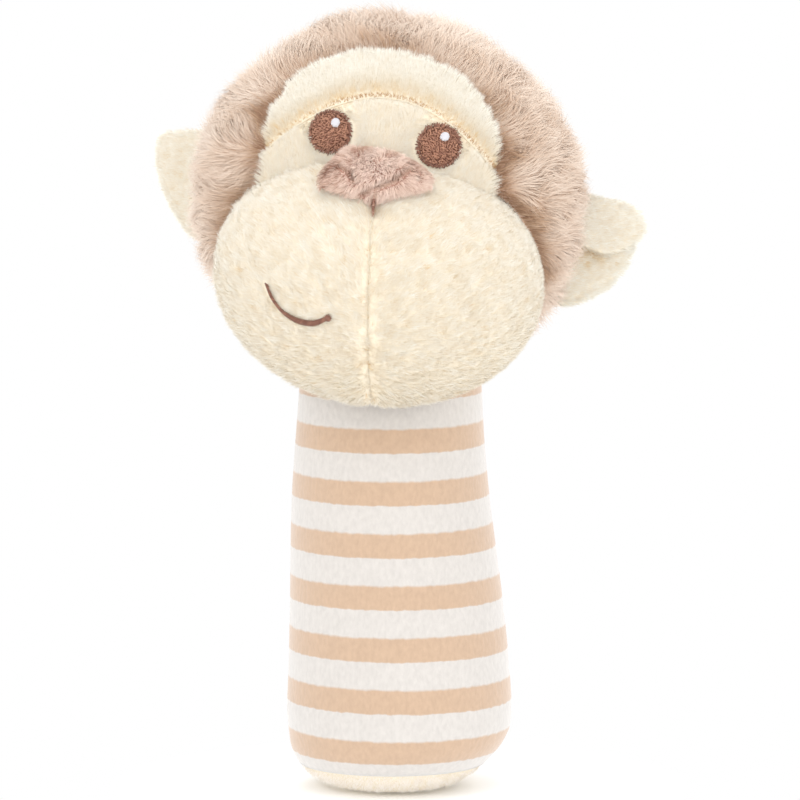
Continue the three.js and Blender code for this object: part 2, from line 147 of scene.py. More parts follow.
def gridNormals(grid, wrap):
    # The cross product of the two ways along the grid
    downRows = np.gradient(grid, axis=0)
    if wrap:
        acrossCols = np.roll(grid, -1, 1) - np.roll(grid, 1, 1)
    else:
        acrossCols = np.gradient(grid, axis=1)
    normals = np.cross(downRows, acrossCols)
    weak = np.linalg.norm(normals, axis=-1) < 1e-7
    for row, near in ((0, 1), (-1, -2)):
        if weak[row].any():
            normals[row] = unit(normals[near]).mean(0) if wrap else normals[near]
    return unit(normals)


def facingOut(grid, wrap, outwards):
    # The grid's normals, turned so that on the whole they agree with the way outwards
    normals = gridNormals(grid, wrap)
    return normals if (normals * outwards).sum() > 0 else -normals


def shellBetween(name, outer, inner, wrap, place=asIs):
    # A closed body: two grids of the same layout, joined along their open edges
    rows, cols = outer.shape[:2]
    count = rows * cols
    faces = gridFaces(rows, cols, wrap)
    col = np.arange(cols if wrap else cols - 1)
    nextCol = (col + 1) % cols
    last = (rows - 1) * cols
    rims = [np.stack([last + col, last + nextCol, last + nextCol + count, last + col + count], 1)]
    rims.append(np.stack([col, col + count, nextCol + count, nextCol], 1))
    if not wrap:
        row = np.arange(rows - 1) * cols
        rims.append(np.stack([row, row + cols, row + cols + count, row + count], 1))
        end = row + cols - 1
        rims.append(np.stack([end, end + count, end + cols + count, end + cols], 1))
    points = np.concatenate([outer.reshape(-1, 3), inner.reshape(-1, 3)])
    faces = np.concatenate([faces, faces[:, ::-1] + count])
    return meshFrom(name, place(points), [np.concatenate([faces, *rims])], flatFrom=len(faces))


def gapsTo(line, points):
    # How far each point lies from each place on a line, on a plane
    return np.sqrt(((points[..., None, :] - line) ** 2).sum(-1))


def nearestOf(points, others):
    # For each point the number of the nearest of the others
    found = []
    size = (others**2).sum(1)
    for start in range(0, len(points), 4000):
        part = points[start:start + 4000]
        found.append(np.argmin(size - 2 * part @ others.T, axis=1))
    return np.concatenate(found)


# Pile: every fibre, or lock of fibres, is a closed spike that is rooted in the cloth

def scatter(grid, normals, count, wrap, rng):
    # Places spread evenly over a grid by area, with the way the cloth faces there
    rows, cols = grid.shape[:2]
    cells = gridFaces(rows, cols, wrap)
    corner = grid.reshape(-1, 3)[cells]
    facing = normals.reshape(-1, 3)[cells]
    area = np.linalg.norm(np.cross(corner[:, 2] - corner[:, 0], corner[:, 3] - corner[:, 1]), axis=1)
    walked = np.cumsum(area)
    picked = np.searchsorted(walked, (np.arange(count) + rng.random(count)) / count * walked[-1])
    picked = np.minimum(picked, len(cells) - 1)
    a, b = rng.random((2, count, 1))
    weights = ((1 - a) * (1 - b), a * (1 - b), a * b, (1 - a) * b)
    roots = sum(w * corner[picked, i] for i, w in enumerate(weights))
    return roots, unit(sum(w * facing[picked, i] for i, w in enumerate(weights)))


def patches(points, size, rng):
    # A smooth field of vectors, about 1 long, that changes over the given size: the sum of seven waves
    field = np.zeros((len(points), 3))
    for _ in range(7):
        wave = unit(rng.standard_normal(3)) * 2 * np.pi / (size * (0.7 + 0.8 * rng.random()))
        field += np.sin(points @ wave + 6.3 * rng.random())[:, None] * rng.standard_normal(3)
    return field / 2.6


def aroundFibre(side, up, sideShares, upShares):
    # Ways round each fibre, as shares of its side and of its upper side
    return side[:, None] * sideShares[:, None] + up[:, None] * upShares[:, None]


def fibreUv(shade, spread, heights, ends):
    # Across: a fibre's shade, a little different on each of its sides; up: how far along it the point is
    across = (shade[:, None] + spread)[:, None]
    rings = np.stack(np.broadcast_arrays(across, heights[None, :, None]), -1).reshape(len(shade), -1, 2)
    tips = np.stack(np.broadcast_arrays(shade[:, None], ends), -1)
    return np.concatenate([rings, tips], 1).reshape(-1, 2)


def makePile(name, roots, normals, combs, look, rng, shades=0.0, lengths=1.0, place=asIs, stands=0.0,
             softs=1.0, floor=None):
    # A fibre starts at "rise" from the normal and bends to "fall", so it follows a parabola;
    # where stands is 1 it stays upright. Its section is a flat triangle with the broad side outwards.
    # Its tip is drawn towards the tip of the nearest leader, which makes locks.
    count = len(roots)
    length = look["length"] * lengths * (1 + look["uneven"] * rng.standard_normal(count).clip(-2, 2))
    stray = look["stray"] * rng.standard_normal((count, 3))
    combs = unit(along(combs + stray, normals))
    leans = 1 - np.broadcast_to(np.asarray(stands, float), (count,))[:, None]
    rise, fall = np.radians(look["rise"]) * leans, np.radians(look["fall"]) * leans
    rise = rise + 0.18 * rng.standard_normal((count, 1))
    startWay = normals * np.cos(rise) + combs * np.sin(rise)
    endWay = normals * np.cos(fall) + combs * np.sin(fall)
    t = np.linspace(0, 1, look["rings"] + 1)[None, :, None]
    path = startWay[:, None] * (t - t * t / 2) + endWay[:, None] * (t * t / 2)
    path = roots[:, None] + path * length[:, None, None]
    shade = look["shadeSpread"] * rng.standard_normal(count) + shades
    if look["lockPull"]:
        leaders = rng.choice(count, max(1, int(count / look["lockSize"])), replace=False)
        nearest = nearestOf(roots, roots[leaders])
        gather = path[leaders[nearest], -1] - path[:, -1]
        gather *= np.minimum(1, look["length"] / np.maximum(np.linalg.norm(gather, axis=1), 1e-6))[:, None]
        path += look["lockPull"] * t**1.5 * gather[:, None]
        shade += look["lockShade"] * rng.standard_normal(len(leaders))[nearest]
    path[:, 0] -= normals * look["sunk"]
    side = unit(np.cross(normals, combs))
    up = unit(np.cross(side, unit(path[:, -1] - path[:, 0])))
    turn = np.radians([-90, 30, 150])
    ring = aroundFibre(side, up, np.cos(turn), -look["flat"] * np.sin(turn))
    width = look["width"] * (1 - 0.45 * t[:, :-1]) * (0.8 + 0.4 * rng.random((count, 1, 1)))
    rings = path[:, :-1, None] + ring[:, None] * width[..., None]
    points = np.concatenate([rings.reshape(count, -1, 3), path[:, -1:]], 1)
    each = points.shape[1]
    shade = np.clip(0.5 + 0.5 * shade, 0.02, 0.98)
    uv = fibreUv(shade, np.array([-0.008, 0.008, 0.0]), t[0, :-1, 0], np.ones(1))
    k = np.arange(3)
    kNext = (k + 1) % 3
    top = (look["rings"] - 1) * 3
    quads = gridFaces(look["rings"], 3, True)
    tris = np.concatenate([np.stack([top + k, top + kNext, np.full(3, each - 1)], 1), [[0, 2, 1]]])
    first = (np.arange(count) * each)[:, None, None]
    faces = [(first + tris).reshape(-1, 3)]
    if len(quads):
        faces.append((first + quads).reshape(-1, 4))
    points = points.reshape(-1, 3)
    # the broad side takes part of its shading from the cloth under it, which keeps the pile soft
    turn = np.radians([-30, 30, 150, 210])
    own = aroundFibre(side, up, np.cos(turn), -np.sin(turn) / look["flat"])
    own = unit(np.stack([own[:, 0], own[:, 1], own[:, 2], -up, own[:, 3], up], 1))
    soft = look["soft"] * np.array([0, 1, 1, 1, 0, 0])[None, :, None] * np.reshape(softs, (-1, 1, 1))
    own = unit(own * (1 - soft) + normals[:, None] * soft)
    own = place(own.reshape(-1, 3)).reshape(own.shape) - place(np.zeros(3))
    shading = [own[:, [0, 0, 0, 1, 2, 3, 4, 4, 4, 5, 5, 5]].reshape(-1, 3)]
    if len(quads):
        shading.append(own[:, [0, 0, 0, 0, 1, 2, 2, 1, 4, 4, 4, 4] * (look["rings"] - 1)].reshape(-1, 3))
    points = place(points)
    if floor is not None:
        points[:, 2] = np.maximum(points[:, 2], floor)
    return meshFrom(name, points, faces, uv, weld=False, shading=np.concatenate(shading))


def makeThreads(name, starts, ends, normals, radius, arch, rng, shades):
    # Stitches on the head: each is a spindle from start to end whose middle stands up by the arch
    count = len(starts)
    t = np.array([0, 0.12, 0.35, 0.65, 0.88, 1.0])
    thick = np.array([0.72, 1, 1, 0.72])
    middle = starts[:, None] + (ends - starts)[:, None] * t[None, :, None]
    middle = middle + normals[:, None] * (arch * (4 * t * (1 - t)) ** 0.5 - 0.25)[None, :, None]
    way = unit(ends - starts)
    side = unit(np.cross(way, normals))
    up = np.cross(side, way)
    turn = np.radians(np.arange(6) * 60)
    ring = aroundFibre(side, up, np.cos(turn), np.sin(turn))
    width = radius * (0.9 + 0.2 * rng.random((count, 1, 1, 1))) * thick[None, :, None, None]
    rings = middle[:, 1:5, None] + ring[:, None] * width
    points = np.concatenate([rings.reshape(count, -1, 3), middle[:, :1], middle[:, -1:]], 1)
    each = points.shape[1]
    k = np.arange(6)
    kNext = (k + 1) % 6
    quads = gridFaces(4, 6, True)
    tris = np.concatenate([
        np.stack([kNext, k, np.full(6, each - 2)], 1),
        np.stack([18 + k, 18 + kNext, np.full(6, each - 1)], 1)])
    first = (np.arange(count) * each)[:, None, None]
    shade = np.clip(0.5 + 0.5 * shades, 0.03, 0.97)
    uv = fibreUv(shade, 0.012 * np.cos(turn), t[1:5], np.array([0.0, 1.0]))
    faces = [(first + tris).reshape(-1, 3), (first + quads).reshape(-1, 4)]
    return meshFrom(name, headToWorld(points.reshape(-1, 3)), faces, uv, weld=False)


# Materials

def linear(hexColour):
    # An sRGB hex value as linear red, green, blue and alpha
    value = np.array([int(hexColour[i:i + 2], 16) for i in (1, 3, 5)]) / 255
    value = np.where(value <= 0.04045, value / 12.92, ((value + 0.055) / 1.055) ** 2.4)
    return (*value, 1.0)


def addNode(tree, kind, sockets=None, **settings):
    # A node with its settings; a socket gets a value, or a link where it is given an output
    node = tree.nodes.new(kind)
    for name, value in settings.items():
        setattr(node, name, value)
    for socket, value in (sockets or {}).items():
        if isinstance(value, bpy.types.NodeSocket):
            tree.links.new(value, node.inputs[socket])
        else:
            node.inputs[socket].default_value = value
    return node


def newMaterial(name):
    material = bpy.data.materials.new(name)
    material.use_nodes = True
    return material, material.node_tree, material.node_tree.nodes["Principled BSDF"]


def setSurface(shader, **values):
    for name, value in values.items():
        shader.inputs[name.replace("_", " ")].default_value = value


def mathOf(tree, operation, *values):
    return addNode(tree, "ShaderNodeMath", dict(enumerate(values)), operation=operation).outputs[0]


def mixOf(tree, share, first, second, blend="MIX"):
    sockets = {0: share, 6: first, 7: second}
    return addNode(tree, "ShaderNodeMix", sockets, data_type="RGBA", blend_type=blend).outputs[2]


def rangeOf(tree, value, start, end, low=0.0, high=1.0, kind="LINEAR"):
    sockets = {0: value, 1: start, 2: end, 3: low, 4: high}
    return addNode(tree, "ShaderNodeMapRange", sockets, interpolation_type=kind).outputs[0]


def noiseOf(tree, place, scale, detail=2.0):
    sockets = {"Vector": place, "Scale": scale, "Detail": detail}
    return addNode(tree, "ShaderNodeTexNoise", sockets).outputs[0]


def colourAndBump(tree, shader, colour, height, distance, strength):
    bump = addNode(tree, "ShaderNodeBump", {"Height": height, "Distance": distance, "Strength": strength})
    tree.links.new(colour, shader.inputs["Base Color"])
    tree.links.new(bump.outputs[0], shader.inputs["Normal"])


def fibreMaterial(name, root, tip, deep, bright, warmShade, crease, sheen):
    # Polyester pile: darker and warmer towards its root, as painted shade of the depth of the pile, and no
    # two fibres take the dye quite alike;
    # the lowest shades are painted shade, for fibres that lie in a fold or a crease, and fibres along a seam
    # are set darker too
    material, tree, shader = newMaterial(name)
    place = addNode(tree, "ShaderNodeUVMap", uv_map=fibreMap)
    split = addNode(tree, "ShaderNodeSeparateXYZ", {0: place.outputs[0]})
    shade, climb = split.outputs[0], mathOf(tree, "POWER", split.outputs[1], 0.8)
    body = mixOf(tree, climb, linear(root), linear(tip))
    tint = mixOf(tree, shade, linear(deep), linear(bright))
    # the two lowest colours are painted shade: orange-tan, then the darker crease colour
    for lower, start, end in ((warmShade, 0.32, 0.12), (crease, 0.1, 0.03)):
        tint = mixOf(tree, rangeOf(tree, shade, start, end), tint, linear(lower))
    tree.links.new(mixOf(tree, 1.0, body, tint, "MULTIPLY"), shader.inputs["Base Color"])
    setSurface(shader, Roughness=0.85, Specular_IOR_Level=0.2, Sheen_Weight=sheen, Sheen_Roughness=0.5)
    return material


def backingMaterial(name, colour, shadow, scale=900):
    # The knitted ground that the pile is rooted in, seen only where the pile parts
    material, tree, shader = newMaterial(name)
    place = addNode(tree, "ShaderNodeTexCoord").outputs["Object"]
    grain = noiseOf(tree, place, scale, 3.0)
    colourAndBump(tree, shader, mixOf(tree, grain, linear(shadow), linear(colour)), grain, 0.0004, 0.6)
    setSurface(shader, Roughness=0.95, Specular_IOR_Level=0.15)
    return material


def dress(piece, material, body, standsFor=()):
    # The material, the body it rides on, and the CAD nodes it stands for
    piece.data.materials.append(material)
    if isinstance(body, str):
        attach(piece, body)
    else:
        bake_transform(piece)
    if standsFor:
        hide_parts(*standsFor)
    return piece


def makeCover(node, name, outer, inner, wrap, place=asIs, cloth=None, body="head"):
    # A padded cover that stands for a CAD node, of cream plush unless it says otherwise
    piece = shellBetween(name, outer, inner, wrap, place)
    dress(piece, cloth or creamCloth, body, [node])


# Cut lines of the head's covers

face = {
    "half": 21.6,
    "shift": -0.7,
    "top": 25.1,
    "shoulder": 6.0,
    "squareness": 2.15,  # 2 is an ellipse, more is squarer
    "foldTop": 17.0,
    "foldDrop": 11.5,
    "foldHalf": 21.0,
    "reach": 21.0,  # from the patch's middle to its edge, roughly
    "sunk": 1.3,  # below the skull's outline
}
skull = {
    "radii": np.array([37.5, 33.0, 35.0]),  # to the tips of the pile
    "pileDepth": 2.9,
    "wall": 1.2,
    "seamDepth": 0.8,
    "seamWidth": 1.6,
    "seamGap": 0.12,
    "underPatch": 0.9,
    "rooted": 1.5,  # how far the muzzle and the ears reach in under its cloth
    # places that stand out from the ellipsoid or lie in: direction, spread, millimetres
    "swells": [
        ((0.54, 0, 0.84), 0.5, -1.5), ((0.8, 0, 0.6), 0.35, -0.6), ((-0.7, 0, 0.72), 0.45, -2.1),
        ((0.1, 0, 1.0), 0.35, -0.7), ((-0.28, 0, 0.96), 0.2, 0.5), ((0.85, 0, -0.53), 0.32, 1.5),
        ((-0.85, 0, -0.52), 0.3, 1.5),
    ],
    "patch": 8.0,
}
muzzle = {
    "radii": np.array([30.4, 23.0, 23.6]),
    "centre": np.array([1.6, -22.0, -16.0]),
    "reach": 24,  # from its middle to its surface, roughly
    "pileDepth": 0.5,
    "wall": 1.0,
    "patch": 3.5,
    "seamDepth": 0.35,
    "seamWidth": 0.9,
    "seamTurn": np.radians(5.5),
    "count": 42000,
}


def inEllipsoid(points, radii, centre=0.0):
    return (((points - centre) / radii) ** 2).sum(-1) < 1


def inFacePatch(points, margin=0.0):
    rise = face["top"] + margin - face["shoulder"]
    over = np.maximum(0, points[..., 2] - face["shoulder"]) / rise
    across = np.abs(points[..., 0] - face["shift"]) / (face["half"] + margin)
    inside = across ** face["squareness"] + over ** face["squareness"] < 1
    return inside & (points[..., 1] < 0) & (points[..., 2] > muzzle["centre"][2])


def inNeck(points):
    # The room that the handle sweeps as the neck flexes: a ball, and a skirt that flares below it
    world = headToWorld(points) - neck["centre"]
    radius = neck["radius"] + neck["gap"]
    out = np.hypot(world[..., 0], world[..., 1])
    lip = radius * np.sin(neck["flex"])
    skirt = radius * np.cos(neck["flex"]) + neck["flare"] * (lip - world[..., 2])
    ball = np.linalg.norm(world, axis=-1) < radius
    return np.where(world[..., 2] > lip, ball, out < skirt)


def muzzleSeam(points):
    # How far to the right of the muzzle's seam a point lies
    return points[..., 0] + np.tan(muzzle["seamTurn"]) * points[..., 2]


def halfCover(side, shape, stops, rows, cols):
    # Half of a round cover: rings about its outermost point at one side, out to where it first stops
    around = np.linspace(0, 2 * np.pi, cols, endpoint=False)

    def at(polar):
        turned = np.broadcast_to(around, polar.shape)
        way = [side * np.cos(polar), -np.sin(polar) * np.cos(turned), np.sin(polar) * np.sin(turned)]
        return shape(np.stack(way, -1))

    trial = np.linspace(0.02, np.pi / 2 + 0.25, 500)
    stopped = stops(at(np.repeat(trial[:, None], cols, 1)))
    first = np.maximum(np.argmax(stopped, axis=0), 1)
    low, high = trial[first - 1], trial[first]
    for _ in range(14):
        middle = (low + high) / 2
        hit = stops(at(middle[None])[0][None])[0]
        low, high = np.where(hit, low, middle), np.where(hit, middle, high)
    share = 1 - (1 - np.linspace(0, 1, rows)) ** 1.15
    return at(share[:, None] * low[None, :])


# Head: brown pile

def skullShape(inset):
    def shape(way):
        points = way * (skull["radii"] - inset)
        normals = unit(way / skull["radii"])
        for direction, spread, amount in skull["swells"]:
            near = np.exp(-((way - unit(np.array(direction, float))) ** 2).sum(-1) / spread**2)
            points = points + normals * (amount * near)[..., None]
        groove = np.exp(-((points[..., 0] / skull["seamWidth"]) ** 2))
        return points - normals * (skull["seamDepth"] * groove)[..., None]
    return shape


brownPile = {
    "count": 19400, "length": 5.6, "uneven": 0.2, "width": 0.085, "flat": 0.4, "soft": 0.85, "rings": 2,
    "rise": 30, "fall": 83, "stray": 0.36, "sunk": 0.4, "lockSize": 26, "lockPull": 0.22,
    "shadeSpread": 0.12, "lockShade": 0.1,
}
brownUndercoat = dict(brownPile, count=43000, length=4.2, width=0.11, rings=1, rise=50, fall=85, soft=0.95)
skullMaterial = fibreMaterial("brownPolyesterPile", "#e6ceb9", "#ede2d6", "#d4bfad", "#fcfcfc", "#c9b19b",
                              "#ae917b", 0.3)
skullCloth = backingMaterial("brownKnitGround", "#dcbfaa", "#c8a891")

creamPile = {
    "length": 1.9, "uneven": 0.18, "width": 0.08, "flat": 0.35, "soft": 0.95, "rings": 1,
    "rise": 58, "fall": 85, "stray": 0.36, "sunk": 0.22, "lockSize": 14, "lockPull": 0.3,
    "shadeSpread": 0.15, "lockShade": 0.2,
}
panelPile = dict(creamPile, shadeSpread=0.1, lockShade=0.08)
creamMaterial = fibreMaterial("creamPlushPile", "#f1e6d3", "#f6f7f7", "#ddcdb2", "#f8f9f6", "#e6cda2",
                              "#c09c74", 0.2)
creamCloth = backingMaterial("creamKnitGround", "#ebe2d0", "#ded2ba")


def makeSkullHalf(name, side):
    cloth = skullShape(skull["pileDepth"])

    def stops(points):
        # the cloth runs a little way under the cream patch
        seam = side * points[..., 0] < skull["seamGap"]
        covered = inFacePatch(points, -skull["underPatch"])
        return seam | covered | inEllipsoid(points, muzzle["radii"] + 0.2, muzzle["centre"]) | inNeck(points)

    outer = halfCover(side, cloth, stops, 46, 200)
    normals = facingOut(outer, True, outer)
    inner = outer - normals * skull["wall"]
    makeCover(name, f"{name}Cloth", outer, inner, True, headToWorld, skullCloth, "head")
    growSkullPile(f"{name}Coat", outer, normals, brownPile, np.random.default_rng(10 + side))
    growSkullPile(f"{name}Undercoat", outer, normals, brownUndercoat, np.random.default_rng(20 + side))


def growSkullPile(name, cloth, normals, look, rng):
    roots, facing = scatter(cloth, normals, look["count"], True, rng)
    # the pile is brushed away from the face, and downwards at the back of the head
    back = smoothstep(4, 24, roots[:, 1])[:, None]
    fromFace = unit(roots - np.array([0, -30.0, -2.0]))
    comb = (1 - back) * fromFace + back * np.array([0, 0.2, -1.0])
    field = patches(roots, skull["patch"], np.random.default_rng(5))
    comb = comb + 0.75 * field
    # fibres near the cut edge stand up more and are shorter, and painted shade darkens them, more so low on
    # the head
    edge = np.minimum(edgeDistance(roots), 4.0)
    shadeWeight = 0.6 + 0.5 * smoothstep(24, 6, roots[:, 2])
    # painted light: the crown is lighter and the right side darker
    litTopShadedRight = 0.15 * smoothstep(22, 32, roots[:, 2]) - 0.18 * smoothstep(8, 30, roots[:, 0])
    shades = 0.2 + 0.3 * field[:, 0] + litTopShadedRight - shadeWeight * np.exp(-((edge / 2.2) ** 2))
    lengths = 0.5 + 0.5 * smoothstep(0.2, 3.6, edge)
    stands = np.maximum(0.75 * smoothstep(2.6, 0.4, edge), 0.1 + 0.12 * field[:, 1].clip(-1, 1))
    pile = makePile(name, roots, facing, comb, look, rng, shades, lengths, headToWorld, stands)
    dress(pile, skullMaterial, "head")


def edgeDistance(points):
    # Roughly how far a point on the head lies outside the cream patch or the muzzle, in millimetres
    over = np.maximum(0, points[:, 2] - face["shoulder"]) / (face["top"] - face["shoulder"])
    patch = (np.hypot((points[:, 0] - face["shift"]) / face["half"], over) - 1) * face["reach"]
    patch = np.where((points[:, 1] < 0) & (points[:, 2] > muzzle["centre"][2]), patch, 9)
    cheek = np.sqrt((((points - muzzle["centre"]) / muzzle["radii"]) ** 2).sum(1))
    cheek = (cheek - 1) * muzzle["reach"]
    return np.maximum(0, np.minimum(patch, cheek))


makeSkullHalf("skull_left", -1)
makeSkullHalf("skull_right", 1)
print("brown pile made")


# Head: cream face

frontwards = np.array([0, -1.0, 0])


def onFace(across, up, offset):
    # A point on the ellipsoid of the face panels, pushed out by the offset
    radii = skull["radii"] - face["sunk"] + np.asarray(offset)[..., None]
    depth = np.sqrt(np.maximum(0, 1 - (across / radii[..., 0]) ** 2 - (up / radii[..., 2]) ** 2))
    return np.stack([across, -radii[..., 1] * depth, up], -1)


def patchDepth(across, up):
    # How far inside the cut edge of the cream patch a point lies
    over = np.maximum(0, up - face["shoulder"]) / (face["top"] - face["shoulder"])
    beside = np.abs(across - face["shift"]) / face["half"]
    share = (beside ** face["squareness"] + over ** face["squareness"]) ** (1 / face["squareness"])
    return (1 - share) * face["reach"]


def edgeSink(across, up):
    # The panels dive into the seam within a millimetre of their cut edge
    return 1.3 * smoothstep(1.3, 0.0, patchDepth(across, up)) ** 1.5


def foldShadow(across):
    # The fold's painted shade is strongest above the nose and at its right end
    return 0.35 + 0.65 * np.maximum(np.exp(-(((across + 1.5) / 7.5) ** 2)), smoothstep(11, 15, across))


def patchPile(name, roots, facing, comb, shades, lengths, rng):
    # Near its cut edge the panels' pile stands out over the seam in ragged tufts
    tufts = smoothstep(2.2, 0.3, patchDepth(roots[:, 0], roots[:, 2]) + 0.5 * patches(roots, 2.5, rng)[:, 0])
    above = np.maximum(roots[:, 2] - face["shoulder"], 0)
    comb = comb + 2.5 * tufts[:, None] * unit(np.stack([roots[:, 0], np.zeros(len(roots)), above], -1))
    kept = patchDepth(roots[:, 0], roots[:, 2]) > 0.7
    lengths = lengths * (1 + 0.15 * tufts)
    pile = makePile(name, roots[kept], facing[kept], comb[kept], panelPile, rng, shades[kept], lengths[kept],
                    headToWorld, stands=0.35 * tufts[kept])
    dress(pile, creamMaterial, "head")


def foldHeight(across):
    return face["foldTop"] - face["foldDrop"] * (across / face["foldHalf"]) ** 2


brow = {"puff": 0.5, "hollow": 1.35, "reach": 3.8, "roll": 0.3, "overlap": 0.3, "wall": 0.9, "count": 27000}
cheekPanel = {"tuck": 1.6, "low": -7.0, "wall": 0.8, "count": 27000}


def makeBrow():
    share = np.linspace(0, 1, 44)[:, None]
    across = face["shift"] + np.linspace(-1, 1, 130)[None] * (face["half"] - 0.15)
    low = foldHeight(across) + brow["roll"] - brow["overlap"]
    rise = face["top"] - face["shoulder"]
    beside = np.abs(across - face["shift"]) / face["half"]
    wide = (1 - beside ** face["squareness"]) ** (1 / face["squareness"])
    high = np.maximum(face["shoulder"] + rise * wide, low + 0.3)
    up = low + (high - low) * share
    # the brow sinks gently towards the fold, and its lower edge is rolled in tightly
    offset = brow["puff"] - brow["hollow"] * np.exp(-(up - low) / brow["reach"])
    turn = np.radians(np.linspace(-90, 0, 9))[:-1, None]
    up = np.concatenate([low + brow["roll"] * np.sin(turn), up])
    offset = np.concatenate([offset[:1] - brow["roll"] * (1 - np.cos(turn)), offset])
    across = np.broadcast_to(across, up.shape)
    offset = offset - creamDepth - edgeSink(across, up)
    outer = onFace(across, up, offset)
    inner = onFace(across, up, offset - brow["wall"])
    makeCover("brow_panel", "browPanelCloth", outer, inner, False, headToWorld)
    normals = facingOut(outer, False, frontwards)
    rng = np.random.default_rng(21)
    roots, facing = scatter(outer, normals, brow["count"], False, rng)
    comb = np.stack([roots[:, 0] * 0.03, np.zeros(len(roots)), np.ones(len(roots))], -1)
    deep = roots[:, 2] - foldHeight(roots[:, 0])
    # painted light and shade: the brow's colour is set lighter overall, a broad orange-tan band of painted
    # shade lies above the fold, and a dark line of painted shade along it
    shadeBand = np.exp(-((np.maximum(0, deep - 0.6) / 2.4) ** 2))
    line = foldShadow(roots[:, 0]) * smoothstep(0.55, 0.2, deep)
    shades = 0.3 - 0.75 * shadeBand - 0.95 * line
    lengths = 0.35 + 0.65 * smoothstep(0.0, 1.8, deep)
    clear = deep > -0.2
    patchPile("browPanelPile", roots[clear], facing[clear], comb[clear], shades[clear], lengths[clear], rng)


eyes = {
    "radius": 4.2, "spacing": 20.0, "height": 9.6, "lift": 0.15,
    "stitchRadius": 0.105, "rowSpacing": 0.185, "reach": 0.6,
    "highlightRadius": 0.86, "highlightShift": (0.8, 1.75),
}
creamDepth = 0.25


def panelOffset(across, up):
    # The face panel turns in under the fold
    return 0.15 - 1.5 * smoothstep(2.2, -0.4, foldHeight(across) - up)


def makeFacePanel():
    share = np.linspace(0, 1, 60)[:, None]
    across = face["shift"] + np.linspace(-1, 1, 130)[None] * (face["half"] - 0.15)
    high = foldHeight(across) + cheekPanel["tuck"]
    up = cheekPanel["low"] + (high - cheekPanel["low"]) * share
    offset = panelOffset(across, up)
    across = np.broadcast_to(across, up.shape)
    offset = offset - creamDepth - edgeSink(across, up)
    outer = onFace(across, up, offset)
    inner = onFace(across, up, offset - cheekPanel["wall"])
    makeCover("face_panel", "facePanelCloth", outer, inner, False, headToWorld)
    normals = facingOut(outer, False, frontwards)
    rng = np.random.default_rng(22)
    roots, facing = scatter(outer, normals, cheekPanel["count"], False, rng)
    clear = np.ones(len(roots), bool)
    comb = np.stack([roots[:, 0] * 0.02, np.zeros(len(roots)), np.ones(len(roots))], -1)
    for side in (-1, 1):
        # round the eyes the pile lies away from the stitches
        fromEye = roots - np.array([side * eyes["spacing"] / 2, 0, eyes["height"]])
        gone = np.hypot(fromEye[:, 0], fromEye[:, 2])
        clear &= gone > eyes["radius"] - 0.05
        pushed = smoothstep(eyes["radius"] + 1.8, eyes["radius"] + 0.3, gone) / gone
        comb += 1.6 * pushed[:, None] * fromEye
    clear &= ~inEllipsoid(roots, muzzle["radii"] - 1.2, muzzle["centre"])
    clear &= roots[:, 2] < foldHeight(roots[:, 0]) + 0.4
    roots, facing, comb = roots[clear], facing[clear], comb[clear]
    below = np.maximum(0, foldHeight(roots[:, 0]) - roots[:, 2])
    # painted shade just under the fold, strongest where foldShadow is
    shades = 0.02 - (0.2 + 1.2 * foldShadow(roots[:, 0])) * np.exp(-((below / 0.6) ** 2))
    lengths = 0.4 + 0.6 * smoothstep(-0.2, 2.2, foldHeight(roots[:, 0]) - roots[:, 2])
    patchPile("facePanelPile", roots, facing, comb, shades, lengths, rng)


makeBrow()
makeFacePanel()
print("cream face made")


# Head: muzzle

def muzzleShape(inset):
    def shape(way):
        points = muzzle["centre"] + way * (muzzle["radii"] - inset)
        normals = unit(way / muzzle["radii"])
        groove = np.exp(-np.abs(muzzleSeam(points) / muzzle["seamWidth"]) ** 1.5)
        return points - normals * (muzzle["seamDepth"] * groove)[..., None]
    return shape


smile = {
    "route": [(-16.9, -18.8), (-15.5, -21.2), (-13.3, -23.3), (-10.5, -24.5), (-7.5, -24.6), (-5.2, -23.4)],
    "thin": 0.28, "thick": 0.62, "knot": 0.85, "count": 46, "stitchRadius": 0.17,
    "clear": 0.42,
}


def onMuzzle(across, up, offset):
    radii, middle = muzzle["radii"] + offset, muzzle["centre"]
    share = 1 - ((across - middle[0]) / radii[0]) ** 2 - ((up - middle[2]) / radii[2]) ** 2
    return np.stack([across, middle[1] - radii[1] * np.sqrt(np.maximum(0, share)), up], -1)


def muzzleNormal(points):
    return unit((points - muzzle["centre"]) / muzzle["radii"] ** 2)


